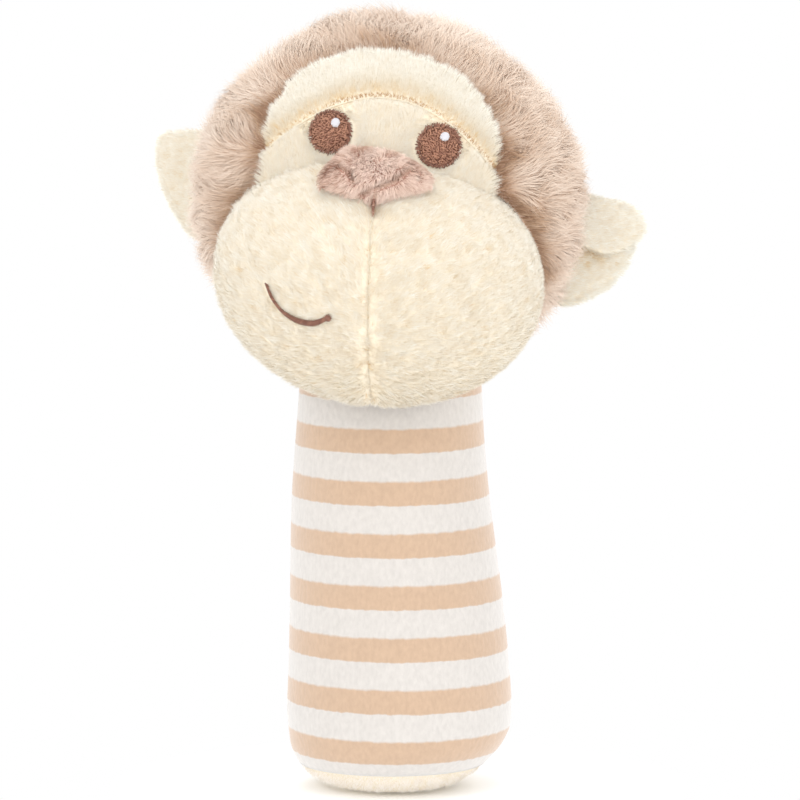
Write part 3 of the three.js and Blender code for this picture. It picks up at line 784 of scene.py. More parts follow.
def makeMuzzleHalf(name, side):
    def stops(points):
        inside = inEllipsoid(points, skull["radii"] - skull["pileDepth"] - skull["rooted"])
        return (side * muzzleSeam(points) < 0.01) | inside | inNeck(points)

    outer = halfCover(side, muzzleShape(muzzle["pileDepth"]), stops, 60, 150)
    normals = facingOut(outer, True, outer - muzzle["centre"])
    inner = outer - normals * muzzle["wall"]
    makeCover(name, f"{name}Cloth", outer, inner, True, headToWorld)
    rng = np.random.default_rng(31 if side < 0 else 32)
    roots, facing = scatter(outer, normals, muzzle["count"], True, rng)
    clear = ~inEllipsoid(roots, skull["radii"] - skull["pileDepth"] - 0.6)
    line = splineThrough(smile["route"], 60)
    ahead = roots[:, 1] < muzzle["centre"][1] - 3
    clear &= ~(ahead & (gapsTo(line, roots[:, [0, 2]]).min(1) < smile["clear"]))
    roots, facing = roots[clear], facing[clear]
    # the pile is brushed outwards and up, but at the seam it leans over the stitches
    seam = np.abs(muzzleSeam(roots))
    out = side * (0.8 - 1.5 * np.exp(-((seam / 0.55) ** 2)))
    comb = np.stack([out, np.full(len(roots), 0.25), np.full(len(roots), 0.6)], -1)
    field = patches(roots, muzzle["patch"], rng)
    comb = comb + 0.22 * field
    shades = 0.1 + 0.04 * field[:, 0] - 0.45 * np.exp(-((seam / 0.5) ** 2))
    # it stands up a little more around the muzzle's edge
    rim = smoothstep(-24, -12, roots[:, 1])
    stands = ((0.04 + 0.12 * rim) + (0.1 + 0.15 * rim) * field[:, 1]).clip(0, 0.4)
    pile = makePile(f"{name}Pile", roots, facing, comb, creamPile, rng, shades, 1.0, headToWorld, stands)
    dress(pile, creamMaterial, "head")


makeMuzzleHalf("muzzle_left", -1)
makeMuzzleHalf("muzzle_right", 1)
print("muzzle made")


# Head: nose

nose = {
    "outline": [
        (9.7, -0.2), (8.7, -2.0), (4.6, -3.7), (1.0, -5.2), (-0.15, -6.0), (-0.45, -8.8), (-0.75, -6.0),
        (-1.9, -5.2), (-5.8, -3.6), (-9.6, -2.1), (-9.9, -1.0), (-9.5, 0.4), (-7.8, 3.0), (-6.0, 5.4),
        (-4.6, 6.2), (-2.2, 5.9), (0.2, 5.5), (2.6, 5.2), (5.2, 3.9), (7.8, 2.0), (9.7, -0.2)],
    "thickness": 2.8, "slope": np.radians(42), "twist": np.radians(7), "height": 2.4, "under": 3.0,
    # pleats that form the nostrils: points across and up, then depth and width
    "pleats": [
        ([(-6.9, 1.3), (-5.6, 0.4), (-4.6, -0.9), (-3.9, -2.2)], 1.5, 0.55),
        ([(-8.9, -0.2), (-7.9, 0.5), (-6.9, 1.3)], 0.7, 0.45),
        ([(-2.2, -4.2), (-0.8, -3.9), (0.8, -3.1), (2.4, -2.3), (3.6, -1.5)], 1.6, 0.55),
        ([(3.6, -1.5), (4.8, -0.2), (5.8, 0.9), (6.8, 0.3), (7.4, -0.9)], 1.2, 0.45)],
    "count": 9500,
}
nosePile = {
    "length": 1.7, "uneven": 0.18, "width": 0.065, "flat": 0.4, "soft": 0.75, "rings": 2,
    "rise": 30, "fall": 80, "stray": 0.2, "sunk": 0.3, "lockSize": 12, "lockPull": 0.25,
    "shadeSpread": 0.2, "lockShade": 0.2,
}
noseMaterial = fibreMaterial("mauvePlushPile", "#e4cab8", "#f5e4d9", "#e0d0c5", "#ffffff", "#b79484",
                             "#835f51", 0.2)
noseCloth = backingMaterial("mauveKnitGround", "#c9a294", "#ab8171")


def pleatsAt(places):
    # How deep the pleats are at each place, and how near a pleat it lies as a share from 0 to 1, which
    # weights the painted shade in the pleats and shortens the fibres there
    depth, shadeWeight = np.zeros(places.shape[:-1]), np.zeros(places.shape[:-1])
    for route, deep, wide in nose["pleats"]:
        gap = gapsTo(splineThrough(route, 40), places).min(-1)
        near = np.exp(-((gap / wide) ** 2))
        depth, shadeWeight = np.maximum(depth, deep * near), np.maximum(shadeWeight, near)
    return depth, shadeWeight


def makeNose():
    outline = splineThrough(nose["outline"], 121)[:-1]
    ring = np.linspace(0, 1, 40)[:, None, None]
    flat = outline[None] * ring
    dome = nose["thickness"] * np.sqrt(np.maximum(0, 1 - ring[..., 0] ** 2.6)) * np.ones((1, 120))
    depth = pleatsAt(flat)[0]
    top = np.stack([flat[..., 0], -(dome - depth), flat[..., 1]], -1)
    bottom = np.stack([flat[..., 0] * 0.9, np.full(dome.shape, nose["under"]), flat[..., 1] * 0.9], -1)

    def place(points):
        c, s = np.cos(-nose["twist"]), np.sin(-nose["twist"])
        turned = points @ np.array([[c, 0, s], [0, 1, 0], [-s, 0, c]]).T
        c, s = np.cos(-nose["slope"]), np.sin(-nose["slope"])
        tipped = turned @ np.array([[1, 0, 0], [0, c, -s], [0, s, c]]).T
        base = onMuzzle(np.array(0.0), np.array(nose["height"]), 0.0)
        return headToWorld(tipped + base)

    makeCover("nose", "noseCloth", top, bottom, True, place, noseCloth, "head")
    normals = facingOut(top, True, frontwards)
    rng = np.random.default_rng(41)
    roots, facing = scatter(top, normals, nose["count"], True, rng)
    # the pile is brushed down, and outwards near the rim
    fromMiddle = np.stack([roots[:, 0], np.zeros(len(roots)), roots[:, 2] - 1.4], -1)
    comb = fromMiddle / 6 + np.array([0.05, 0, -0.5]) + 0.5 * patches(roots, 3.0, rng)
    pleat = pleatsAt(roots[:, [0, 2]])[1]
    # short fibres hang down the thin tail
    tail = smoothstep(-5.6, -6.8, roots[:, 2])
    comb[:, 2] -= 4 * tail
    lengths = (1 - 0.7 * pleat) * (1 - 0.8 * tail)
    # painted light and shade: the middle is lighter, the left part and the pleats darker; the thin tail is
    # darker too
    bright = 0.4 * np.exp(-((roots[:, 0] / 3) ** 2))
    shades = bright - 0.4 * smoothstep(-4, -8, roots[:, 0]) - 0.9 * pleat - 1.2 * tail
    pile = makePile("nosePile", roots, facing, comb, nosePile, rng, shades, lengths, place)
    dress(pile, noseMaterial, "head")


makeNose()


# Head: embroidery

def threadMaterial(name, deep, bright):
    # Trilobal polyester thread: it shines along each stitch, and each stitch's colour is painted lighter or
    # darker at random, as painted light for how its lie catches the lamps
    material, tree, shader = newMaterial(name)
    place = addNode(tree, "ShaderNodeUVMap", uv_map=fibreMap).outputs[0]
    split = addNode(tree, "ShaderNodeSeparateXYZ", {0: place})
    colour = mixOf(tree, split.outputs[0], linear(deep), linear(bright))
    twist = addNode(tree, "ShaderNodeTexWave", {"Vector": place, "Scale": 3.0}, bands_direction="Y")
    colourAndBump(tree, shader, colour, twist.outputs[1], 0.00005, 0.5)
    setSurface(shader, Roughness=0.45, Specular_IOR_Level=0.4)
    return material


brownThread = threadMaterial("brownEmbroideryThread", "#6f4739", "#c69377")
whiteThread = threadMaterial("whiteEmbroideryThread", "#c8c5c7", "#e4e1e2")
brownPad = backingMaterial("brownThreadUnderlay", "#7a5446", "#5f3f35")
whitePad = backingMaterial("whiteThreadUnderlay", "#cfcdd2", "#bdbbc0")


def faceNormal(points):
    return unit(points / (skull["radii"] - face["sunk"]) ** 2)


def stitchedDisc(name, centre, radius, look, rng):
    # Rows of short stitches across a disc, in a brick pattern, inside a border of slanted stitches
    rows = np.arange(-radius + 0.2, radius - 0.1, eyes["rowSpacing"])
    reach = eyes["reach"]
    starts, ends, shades = [], [], []
    inner = radius - look["border"]
    for i, row in enumerate(rows):
        if abs(row) >= inner:
            continue
        half = np.sqrt(inner**2 - row**2)
        cuts = np.arange(-half - reach * (i % 3) / 3, half, reach)
        a, b = np.clip(cuts, -half, half), np.clip(cuts + reach, -half, half)
        keep = b - a > 0.25
        starts.append(np.stack([a[keep], np.full(keep.sum(), row)], -1))
        ends.append(np.stack([b[keep], np.full(keep.sum(), row)], -1))
        shades.append(np.full(keep.sum(), look["fillShade"]))
    c, s = np.cos(np.radians(look["slant"])), np.sin(np.radians(look["slant"]))
    spin = np.array([[c, s], [-s, c]])
    starts = np.concatenate(starts) @ spin
    ends = np.concatenate(ends) @ spin
    shades = np.concatenate(shades)
    if look["border"] > 0:
        count = int(2 * np.pi * radius / 0.2)
        angle = np.linspace(0, 2 * np.pi, count, endpoint=False)
        out = radius + 0.08 * rng.standard_normal(count)
        ring = np.stack([np.cos(angle), np.sin(angle)], -1)
        later = np.stack([np.cos(angle + 0.13), np.sin(angle + 0.13)], -1)
        starts = np.concatenate([starts, ring * out[:, None]])
        ends = np.concatenate([ends, later * (radius - look["border"] * 1.25)])
        shades = np.concatenate([shades, np.full(count, look["rimShade"])])
    shades = shades + 0.36 * rng.standard_normal(len(shades))
    middle, reachOut = (starts + ends) / 2, (ends - starts) / 2
    bend = look["skew"] * rng.standard_normal((len(starts), 1))
    reachOut = reachOut * np.cos(bend) + reachOut[:, ::-1] * np.array([-1, 1]) * np.sin(bend)
    starts, ends = middle - reachOut, middle + reachOut
    starts = starts + look["jitter"] * rng.standard_normal(starts.shape)
    ends = ends + look["jitter"] * rng.standard_normal(ends.shape)
    low, high = (onPanel(*(points + centre).T, look["lift"]) for points in (starts, ends))
    normals = faceNormal((low + high) / 2)
    return makeThreads(name, low, high, normals, eyes["stitchRadius"], look["arch"], rng, shades)


def onPanel(across, up, lift):
    return onFace(across, up, lift + 0.85 * panelOffset(across, up))


def padDisc(name, centre, radius, low, high):
    # A low dome under the stitches
    ring = np.linspace(0, 1, 12)[:, None]
    turn = np.linspace(0, 2 * np.pi, 48, endpoint=False)[None]
    across, up = centre[0] + radius * ring * np.cos(turn), centre[1] + radius * ring * np.sin(turn)
    dome = low + (high - low) * np.sqrt(np.maximum(0, 1 - ring**4)) * np.ones_like(turn)
    return shellBetween(name, onPanel(across, up, dome), onPanel(across, up, low - 0.6), True, headToWorld)


def makeEye(name, side):
    centre = (side * eyes["spacing"] / 2, eyes["height"])
    rng = np.random.default_rng(51 if side < 0 else 52)
    pad = padDisc(f"{name}Underlay", centre, eyes["radius"] - 0.15, -0.7, eyes["lift"])
    dress(pad, brownPad, "head", [name])
    look = {
        "lift": eyes["lift"] + 0.1, "slant": -35 * side, "border": 0.75, "arch": 0.22, "jitter": 0.1,
        "skew": 0.45, "rimShade": -0.8, "fillShade": 0.2,
    }
    disc = stitchedDisc(f"{name}Stitches", centre, eyes["radius"], look, rng)
    dress(disc, brownThread, "head")
    spot = (centre[0] + eyes["highlightShift"][0], centre[1] + eyes["highlightShift"][1])
    pad = padDisc(f"{name}HighlightUnderlay", spot, eyes["highlightRadius"], 0.0, eyes["lift"] + 0.5)
    dress(pad, whitePad, "head", [f"{name}_highlight"])
    look = {
        "lift": eyes["lift"] + 0.45, "slant": 70, "border": 0.0, "arch": 0.18, "jitter": 0.04,
        "skew": 0.0, "fillShade": 0.0,
    }
    disc = stitchedDisc(f"{name}HighlightStitches", spot, eyes["highlightRadius"], look, rng)
    dress(disc, whiteThread, "head")


makeEye("eye_left", -1)
makeEye("eye_right", 1)


def makeSmile():
    # Slanted satin stitches along the route, thin at the start and thick towards the knot at the end
    rng = np.random.default_rng(61)
    route = splineThrough(smile["route"], smile["count"])
    way = unit(np.gradient(route, axis=0))
    across = np.stack([-way[:, 1], way[:, 0]], -1)
    share = np.linspace(0, 1, len(route))
    half = smile["thin"] + (smile["thick"] - smile["thin"]) * smoothstep(0.25, 0.75, share)
    half = (half * (1 - 0.25 * smoothstep(0.85, 0.95, share)))[:, None]
    starts = route - across * half - way * 0.35
    ends = route + across * half + way * 0.35
    turn = np.radians(np.arange(0, 180, 30))
    spokes = np.stack([np.cos(turn), np.sin(turn)], -1) * smile["knot"] * 0.9
    knot = route[-1] + way[-1] * 0.3
    starts, ends = np.concatenate([starts, knot - spokes]), np.concatenate([ends, knot + spokes])
    low, high = onMuzzle(starts[:, 0], starts[:, 1], 0.25), onMuzzle(ends[:, 0], ends[:, 1], 0.25)
    shades = -0.8 + 0.2 * rng.standard_normal(len(starts))
    normals = muzzleNormal(low)
    piece = makeThreads("smileStitches", low, high, normals, smile["stitchRadius"], 0.4, rng, shades)
    dress(piece, brownThread, "head", ["smile_stitch"])


makeSmile()
print("nose and embroidery made")


# Ears

# an ear's "shade" lifts its colour: on the right ear this is painted light, set lighter for how the light
# falls on it
ears = {
    "ear_left": {
        "side": -1, "sweep": np.radians(38), "puff": 1.6, "cup": 0.8, "shade": 0.0,
        "rim": [
            (-35.5, 6.4), (-38.6, 6.2), (-42.2, 5.6), (-45.3, 4.8), (-46.5, 3.1), (-46.5, 0.4),
            (-45.6, -3.2), (-43.6, -7.0), (-41.2, -10.3), (-38.0, -13.6), (-34.5, -15.0)],
        "root": [5.0, -3.4, -12.8],
        "crease": None,
    },
    "ear_right": {
        "side": 1, "sweep": np.radians(14), "puff": 2.0, "cup": 0.6, "shade": 0.3,
        "rim": [
            (34.5, 3.9), (37.7, 3.6), (41.6, 3.2), (44.8, 2.8), (47.3, 1.3), (48.4, -1.1), (48.2, -2.8),
            (47.0, -4.9), (46.4, -7.3), (45.8, -9.4), (44.5, -11.3), (43.4, -13.3), (41.4, -14.9),
            (39.2, -16.4), (36.4, -17.7), (32.5, -17.9)],
        "root": [3.4, -6.6, -16.6],
        "crease": [(35.5, -6.0), (38.0, -6.3), (41.0, -7.0), (43.0, -6.8), (45.6, -5.5), (48.5, -4.2)],
    },
}
earLook = {
    "rootAcross": 36.0, "rootDepth": 4.0, "count": 11000, "rows": 26, "cols": 110,
    "bend": 0.003,  # metres across the ear's root
}


def makeEar(name, ear):
    # Each layer lies between the ear's middle surface and a puffed outside; they meet at the rim
    rim = splineThrough(ear["rim"], earLook["cols"])
    share = np.linspace(0, 1, earLook["cols"])
    side, depth = ear["side"], earLook["rootDepth"]
    rootUp = np.interp(share, [0, 0.5, 1], ear["root"])
    inRadii = skull["radii"] - skull["pileDepth"] - skull["rooted"]
    rootOut = side * inRadii[0] * np.sqrt(1 - (depth / inRadii[1]) ** 2 - (rootUp / inRadii[2]) ** 2)
    root = np.stack([rootOut, rootUp], -1)
    outShare = (np.linspace(0, 1, earLook["rows"]) ** 0.8)[:, None]
    flat = root[None] * (1 - outShare[..., None]) + rim[None] * outShare[..., None]
    proud = side * (flat[..., 0] - root[None, :, 0])
    midDepth = depth + np.tan(ear["sweep"]) * proud
    ends = np.sin(np.pi * np.clip(share, 0.02, 0.98))[None] ** 0.35
    bulge = np.sqrt(np.maximum(0, 1 - outShare**3)) * ends
    front = 0.3 + ear["puff"] * bulge
    backed = 0.3 + ear["puff"] * 0.8 * bulge
    hollow = ear["cup"] * np.exp(-(((outShare - 0.45) / 0.25) ** 2)) * np.sin(np.pi * share)[None]
    front = front - hollow
    if ear["crease"]:
        line = splineThrough(ear["crease"], 80)
        # it stands out above the crease and lies in below it
        gap = gapsTo(line, flat)
        above = flat[..., 1] - line[np.argmin(gap, -1), 1]
        near = gap.min(-1)
        rolled, sunken = np.exp(-((near / 3.2) ** 2)), -0.6 * np.exp(-((near / 3.4) ** 2))
        front = np.maximum(front + np.where(above > 0, rolled, sunken), 0.25)
    middle = np.stack([flat[..., 0], midDepth, flat[..., 1]], -1)
    # a span of a few millimetres across the ear's root, given as the body; dress only bakes the pieces in
    # place
    place = np.array([side * earLook["rootAcross"], depth, ear["root"][1]])
    place = headToWorld(place) * metresPerMillimetre
    way = headTurn @ np.array([side, 0.0, 0.0]) * earLook["bend"]
    bend = ("head", name, tuple(place - way * 0.6), tuple(place + way * 1.6))
    for layer, out, thick, seed in (("front", frontwards, front, 71), ("back", -frontwards, backed, 72)):
        node = f"{name}_{layer}"
        grid, within = middle + out * thick[..., None], middle + 0.08 * out
        makeCover(node, f"{node}Cloth", grid, within, False, headToWorld, body=bend)
        normals = facingOut(grid, False, out)
        rng = np.random.default_rng(seed + (0 if side < 0 else 5))
        roots, facing = scatter(grid, normals, earLook["count"], False, rng)
        comb = np.tile([side * 1.0, 0.3, 0.15], (len(roots), 1))
        clear = ~inEllipsoid(roots, skull["radii"] - skull["pileDepth"])
        roots, facing, comb = roots[clear], facing[clear], comb[clear]
        # at the rim the other side's fibres show too, so there they keep their own shading
        inwards = gapsTo(rim, roots[:, [0, 2]]).min(1)
        # painted light and shade: the rim is lighter, and the hollow under the crease takes orange-tan
        # painted shade
        shades = ear["shade"] + 0.35 * smoothstep(2.0, 0.3, inwards)
        if ear["crease"] and layer == "front":
            gap = gapsTo(line, roots[:, [0, 2]])
            under = line[np.argmin(gap, 1), 1] - roots[:, 2]
            near = np.exp(-((gap.min(1) / 3.0) ** 2))
            shades -= smoothstep(-0.4, 0.4, under) * near * smoothstep(46, 38, roots[:, 0])
        softs = smoothstep(0.6, 2.5, inwards)
        pile = makePile(
            f"{node}Pile", roots, facing, comb, earPile, rng, shades, place=headToWorld, softs=softs)
        dress(pile, creamMaterial, bend)


earPile = dict(creamPile, length=1.5)
for earName, earShape in ears.items():
    makeEar(earName, earShape)
print("ears made")


# Handle

handle = {
    "widest": 21.35, "widestHeight": 15.0, "swell": 0.3, "lean": -1.8, "wall": 0.9,
    "hem": 4.6, "tuck": 42, "seat": 10.0, "footShift": 1.8,
    "stripeStart": 7.05, "stripePitch": 9.65, "stripeWidth": 4.5,
    # radius and height of the foot, from the floor over the seam to the widest place
    "foot": [
        (10.5, 0.0), (12.6, 0.6), (14.3, 1.6), (15.8, 2.6), (17.1, 3.7), (18.1, 4.9), (19.0, 6.2),
        (19.7, 7.4), (20.3, 8.7), (20.9, 10.8), (21.25, 12.8), (21.35, 15.0)],
}


def handleRadius(height):
    foot = splineThrough(handle["foot"], 80)
    share = (height - handle["widestHeight"]) / (neck["centre"][2] - handle["widestHeight"])
    swell = handle["swell"] * np.sin(np.clip(share, 0, 1) * np.pi)
    side = handle["widest"] + (neck["radius"] - handle["widest"]) * share + swell
    return np.where(height < handle["widestHeight"], np.interp(height, foot[:, 1], foot[:, 0]), side)


def knitMaterial():
    # Brushed cotton jersey with yarn-dyed stripes: fine wales 0.55 mm apart, and a soft nap over them
    material, tree, shader = newMaterial("stripedBrushedJersey")
    place = addNode(tree, "ShaderNodeTexCoord").outputs["Object"]
    waver = noiseOf(tree, place, 700.0, 4.0)
    split = addNode(tree, "ShaderNodeSeparateXYZ", {0: place})
    nudge = mathOf(tree, "MULTIPLY_ADD", waver, 0.0006, -0.0003)
    # the cloth is drawn up towards the nape, most of all near the neck
    behind = mathOf(tree, "ADD", split.outputs[1], 0.02)
    draw = rangeOf(tree, split.outputs[2], 0.015, 0.07, -0.013, -0.044)
    height = mathOf(tree, "MULTIPLY_ADD", behind, draw, split.outputs[2])
    height = mathOf(tree, "ADD", height, nudge)
    start = handle["stripeStart"] * metresPerMillimetre
    pitch = handle["stripePitch"] * metresPerMillimetre
    turns = mathOf(tree, "MULTIPLY", mathOf(tree, "ADD", height, -start), 1 / pitch)
    share = mathOf(tree, "FLOORED_MODULO", turns, 1.0)
    middle = handle["stripeWidth"] / handle["stripePitch"] / 2
    gap = mathOf(tree, "ABSOLUTE", mathOf(tree, "ADD", share, -middle))
    tan = rangeOf(tree, gap, middle - 0.03, middle + 0.03, 1.0, 0.0, "SMOOTHSTEP")
    stripes = mixOf(tree, tan, linear("#c6c1bc"), linear("#bca189"))
    stretched = addNode(tree, "ShaderNodeMapping", {0: place, 3: (1.0, 1.0, 0.6)})
    nap = noiseOf(tree, stretched.outputs[0], 1300.0, 4.0)
    colour = mixOf(tree, 1.0, stripes, rangeOf(tree, nap, 0.3, 0.7, 0.93, 1.04), "MULTIPLY")
    colourAndBump(tree, shader, colour, nap, 0.0002, 0.5)
    setSurface(shader, Roughness=0.9, Specular_IOR_Level=0.2, Sheen_Weight=0.5, Sheen_Roughness=0.5)
    return material


def footShift(height):
    # The foot sits a little to the left of the stem
    return -handle["footShift"] * smoothstep(13, 2, height)


def leanShift(points):
    top = neck["centre"][2] - handle["seat"] - (neck["radius"] - 1) / 2
    shifted = points.copy()
    shifted[..., 0] += footShift(points[..., 2])
    shifted[..., 0] += handle["lean"] * smoothstep(handle["widestHeight"], top, points[..., 2])
    return shifted


def makeSleeve():
    turn = np.linspace(0, 2 * np.pi, 128, endpoint=False)[None]
    low = np.linspace(handle["hem"], neck["centre"][2], 96)
    tuck = np.radians(np.linspace(0, handle["tuck"], 18)[1:])
    heights = np.concatenate([low, neck["centre"][2] + neck["radius"] * np.sin(tuck)])
    radii = np.concatenate([handleRadius(low), neck["radius"] * np.cos(tuck)])
    around = np.ones_like(turn)
    radius = radii[:, None] * around
    height = heights[:, None] * around
    # slight dents of the filling under the cloth
    dent = 0.16 * np.sin(2 * turn + 0.055 * height + 0.7) + 0.12 * np.sin(3 * turn - 0.12 * height)
    dent = dent * smoothstep(4, 16, height) * smoothstep(78, 66, height)
    # the cloth draws in at the hem
    pull = 0.15 * np.exp(-(((height - handle["hem"]) / 0.9) ** 2))
    radius = radius + dent - pull
    outer = leanShift(np.stack([radius * np.cos(turn), radius * np.sin(turn), height], -1))
    normals = facingOut(outer, True, outer * np.array([1.0, 1.0, 0]))
    inner = outer - normals * handle["wall"]
    makeCover("stem_sleeve", "stemSleeveCloth", outer, inner, True, cloth=knitMaterial(), body="handle")


base = {"top": 4.55, "wall": 0.8, "sink": 0.45, "count": 22000}
basePile = dict(creamPile, length=1.1, stray=0.6, rise=62, lockPull=0.15, lockShade=0.08)
# the base's pile is the same cream plush with lighter, paler colours: painted light on the shaded foot
paintedLightBaseMaterial = fibreMaterial("creamPlushPilePaintedLight", "#f3eae0", "#fbfbfb", "#e9dccb", "#fcfcfa", "#e0c494",
                             "#bd976d", 0.2)


def makeBase():
    # A flat middle that curves up to the seam, below the foot's outline by the depth of the pile
    turn = np.linspace(0, 2 * np.pi, 150, endpoint=False)[None]
    foot = splineThrough(handle["foot"], 80)
    foot = foot[foot[:, 1] < base["top"]]

    def profile(inset):
        way = np.gradient(foot, axis=0)
        edge = foot + inset * unit(np.stack([-way[:, 1], way[:, 0]], -1))
        edge[:, 1] = np.maximum(edge[:, 1], inset)
        flat = np.linspace(0, edge[0, 0], 14)[:-1]
        radii = np.concatenate([flat, edge[:, 0]])
        heights = np.concatenate([np.full(13, inset), edge[:, 1]])
        radii, heights = radii[:, None], heights[:, None] + 0 * turn
        return leanShift(np.stack([radii * np.cos(turn), radii * np.sin(turn), heights], -1))

    outer = profile(base["sink"])
    inner = profile(base["sink"] + base["wall"])
    makeCover("base_disc", "baseDiscCloth", outer, inner, True, body="handle")
    normals = facingOut(outer, True, np.array([0, 0, -1.0]))
    rng = np.random.default_rng(81)
    roots, facing = scatter(outer, normals, base["count"], True, rng)
    # the pile is short and hangs down, and at the hem it thins out
    field = patches(roots, 3.0, rng)
    comb = unit(roots * np.array([1, 1, 0]) + np.array([0, 0, -25.0])) + 0.3 * field
    shades = 0.15 + 0.05 * field[:, 0]
    facing[:, 2] *= 1 - 0.4 * smoothstep(0.6, 1.4, roots[:, 2])
    facing = unit(facing)
    lengths = np.where(roots[:, 2] < 1.0, 0.6, 1.0) * (1 - 0.5 * smoothstep(4.1, 4.5, roots[:, 2]))
    pile = makePile("baseDiscPile", roots, facing, comb, basePile, rng, shades, lengths=lengths, floor=0.0)
    dress(pile, paintedLightBaseMaterial, "handle")


makeSleeve()
makeBase()
print("handle made")


# Inside: filling, capsule and beads

inside = {"lump": 0.12, "grain": 1.2}


def underCover(name, points):
    # Where the cover lies in, the filling is pressed in with it
    if name == "stem_filling":
        limit = handleRadius(points[:, 2] - 1.4) - handle["wall"]
        low = points[:, 2] < handle["widestHeight"]
        scale = np.minimum(1, limit / np.maximum(np.hypot(points[:, 0], points[:, 1]), 1e-6))
        points[low, :2] *= scale[low, None]
        points[:, 0] += footShift(points[:, 2])
    if name == "head_filling":
        inset = skull["pileDepth"] + skull["wall"] + 0.5
        local = (points - head["centre"]) @ headTurn
        limit = np.linalg.norm(skullShape(inset)(unit(local / (skull["radii"] - inset))), axis=1)
        points = headToWorld(local * np.minimum(1, limit / np.linalg.norm(local, axis=1))[:, None])
    return points


def makeFilling(name, body):
    # The CAD solid, merged, made of even small cells and roughened like wadding
    piece = bpy.data.objects.new(f"{name}Wadding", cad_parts[name].data.copy())
    bpy.context.scene.collection.objects.link(piece)
    work = bmesh.new()
    work.from_mesh(piece.data)
    bmesh.ops.remove_doubles(work, verts=work.verts, dist=1e-6)
    work.to_mesh(piece.data)
    work.free()
    cells = piece.modifiers.new("cells", "REMESH")
    cells.mode = "VOXEL"
    cells.voxel_size = inside["grain"] * metresPerMillimetre
    graph = bpy.context.evaluated_depsgraph_get()
    mesh = bpy.data.meshes.new_from_object(piece.evaluated_get(graph))
    piece.modifiers.clear()
    piece.data = mesh
    points = np.zeros(len(mesh.vertices) * 3, np.float32)
    normals = np.zeros(len(mesh.vertices) * 3, np.float32)
    mesh.vertices.foreach_get("co", points)
    mesh.vertex_normals.foreach_get("vector", normals)
    points, normals = points.reshape(-1, 3), normals.reshape(-1, 3)
    wave = np.sin(points @ np.array([[900, 400], [-300, 800], [500, -700]])).sum(1)
    points = points - normals * ((0.3 + inside["lump"] * wave) * metresPerMillimetre)[:, None]
    points = underCover(name, points / metresPerMillimetre) * metresPerMillimetre
    mesh.vertices.foreach_set("co", points.astype(np.float32).ravel())
    mesh.polygons.foreach_set("use_smooth", np.ones(len(mesh.polygons), bool))
    mesh.materials.clear()
    mesh.update()
    dress(piece, fillingMaterial, body, [name])


fillingMaterial = backingMaterial("polyesterFibreWadding", "#fbfaf6", "#e9e6de", 500)
for fillingBody, fillingName in (("handle", "stem"), ("neck", "neck"), ("head", "head")):
    makeFilling(f"{fillingName}_filling", fillingBody)


def plasticMaterial(name, colour, roughness):
    # Moulded polypropylene: an even colour under a fine spark-eroded grain
    material, tree, shader = newMaterial(name)
    place = addNode(tree, "ShaderNodeTexCoord").outputs["Object"]
    cloudy = rangeOf(tree, noiseOf(tree, place, 120.0), 0.0, 1.0, 0.97, 1.0)
    tinted = mixOf(tree, 1.0, linear(colour), cloudy, "MULTIPLY")
    colourAndBump(tree, shader, tinted, noiseOf(tree, place, 2500.0), 0.00003, 0.4)
    setSurface(shader, Roughness=roughness, IOR=1.49)
    return material


casePlastic = plasticMaterial("polypropyleneCase", "#e8eef2", 0.4)
beadPlastic = plasticMaterial("styreneBead", "#d8d2c8", 0.3)
for nodeName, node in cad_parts.items():
    if nodeName.startswith("rattle"):
        finish = casePlastic if "case" in nodeName else beadPlastic
        if not node.data.materials:
            node.data.materials.append(finish)
        for place in node.material_slots:
            place.material = finish
print("inside made")


# Stage, lights and camera

studio = {
    "floor": 3.0, "tableGlow": 1.5, "shadowReach": 0.035, "glowReach": 0.021,
    "cameraTurn": 4.0, "cameraRise": 4.0, "distance": 0.7, "target": (0, 0, 0.0738), "lens": 165.8,
}


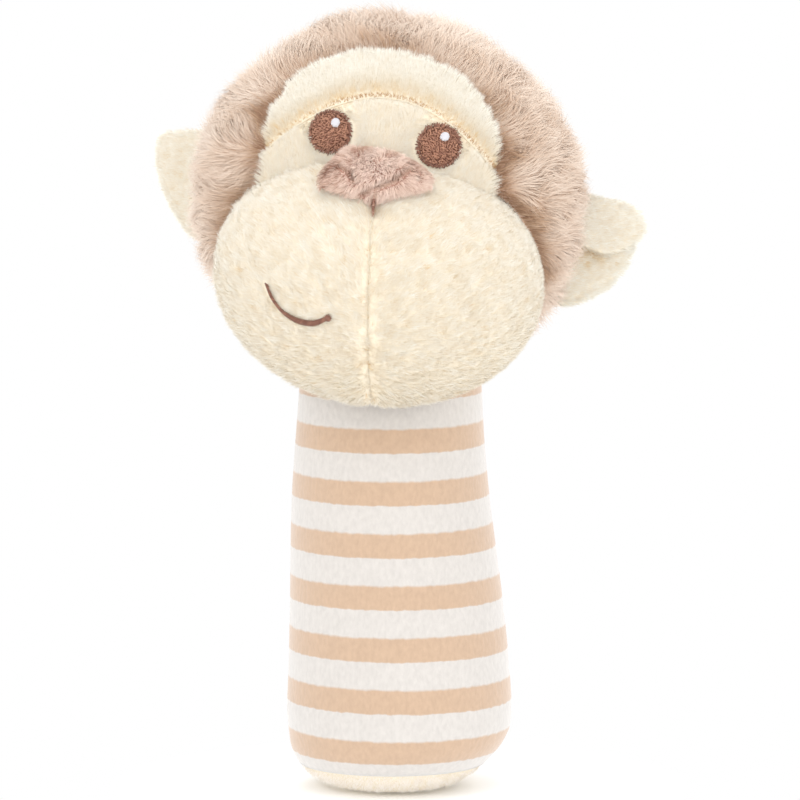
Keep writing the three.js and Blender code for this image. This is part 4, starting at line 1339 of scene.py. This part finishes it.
def makeStage():
    # A pale floor that runs into white away from the toy
    half = studio["floor"] / metresPerMillimetre
    corners = np.array([(-half, -half, 0), (half, -half, 0), (half, half, 0), (-half, half, 0)])
    floor = meshFrom("floor", corners, [np.array([[0, 1, 2, 3]])], weld=False)
    material, tree, shader = newMaterial("paleFloor")
    setSurface(shader, Roughness=0.9, Base_Color=linear("#fcfcfc"), Specular_IOR_Level=0.0)
    # away from the toy the floor glows: plain white to the camera, and brighter as painted light thrown on
    # the toy
    seen = addNode(tree, "ShaderNodeLightPath").outputs["Is Camera Ray"]
    glow = rangeOf(tree, seen, 0.0, 1.0, studio["tableGlow"], 1.0)
    white = addNode(tree, "ShaderNodeEmission", {0: (1, 1, 1, 1), 1: glow})
    place = addNode(tree, "ShaderNodeTexCoord")
    away = addNode(tree, "ShaderNodeVectorMath", {0: place.outputs["Object"]}, operation="LENGTH")
    # the camera sees the toy's shadow, which the light that reaches the toy leaves out
    reach = mathOf(tree, "MULTIPLY_ADD", seen, -studio["glowReach"], away.outputs["Value"])
    share = rangeOf(tree, reach, 0.0, studio["shadowReach"], kind="SMOOTHSTEP")
    both = addNode(tree, "ShaderNodeMixShader", {0: share, 1: shader.outputs[0], 2: white.outputs[0]})
    tree.links.new(both.outputs[0], tree.nodes["Material Output"].inputs[0])
    floor.data.materials.append(material)


def makeWorld():
    # Plain white all round
    world = bpy.data.worlds.new("studio")
    bpy.context.scene.world = world
    world.use_nodes = True
    fill = world.node_tree.nodes["Background"]
    fill.inputs[0].default_value = (1, 1, 1, 1)
    fill.inputs[1].default_value = 1.0


lamps = [
    # name, place, size, watts
    ("softKey", (-0.5, -0.78, 0.7), 0.8, 3.5),
    ("softFill", (0.97, -0.38, 0.32), 0.9, 2.9),
    ("softTop", (0.0, -0.05, 1.0), 0.7, 2.7),
    ("softLow", (0.0, -0.95, 0.02), 0.6, 2.0),
    ("softBack", (0.35, 0.9, 0.45), 0.8, 2.6),
]


def turnTowards(way):
    return Vector(way).to_track_quat("-Z", "Y").to_euler()


def makeLamps():
    for name, place, size, watts in lamps:
        data = bpy.data.lights.new(name, "AREA")
        data.shape = "DISK"
        data.size = size
        data.energy = watts
        lamp = bpy.data.objects.new(name, data)
        lamp.location = place
        bpy.context.scene.collection.objects.link(lamp)
        lamp.rotation_euler = turnTowards(np.array((0, 0, 0.09)) - np.array(place))


def makeCamera():
    turn, rise = np.radians(studio["cameraTurn"]), np.radians(studio["cameraRise"])
    back = np.array([np.sin(turn) * np.cos(rise), -np.cos(turn) * np.cos(rise), np.sin(rise)])
    data = bpy.data.cameras.new("camera")
    data.lens = studio["lens"]
    data.sensor_width = 36
    camera = bpy.data.objects.new("camera", data)
    camera.location = np.array(studio["target"]) + back * studio["distance"]
    camera.rotation_euler = turnTowards(-back)
    bpy.context.scene.collection.objects.link(camera)
    bpy.context.scene.camera = camera


makeStage()
makeWorld()
makeLamps()
makeCamera()
bpy.context.scene.view_settings.view_transform = "Standard"
print("stage made")
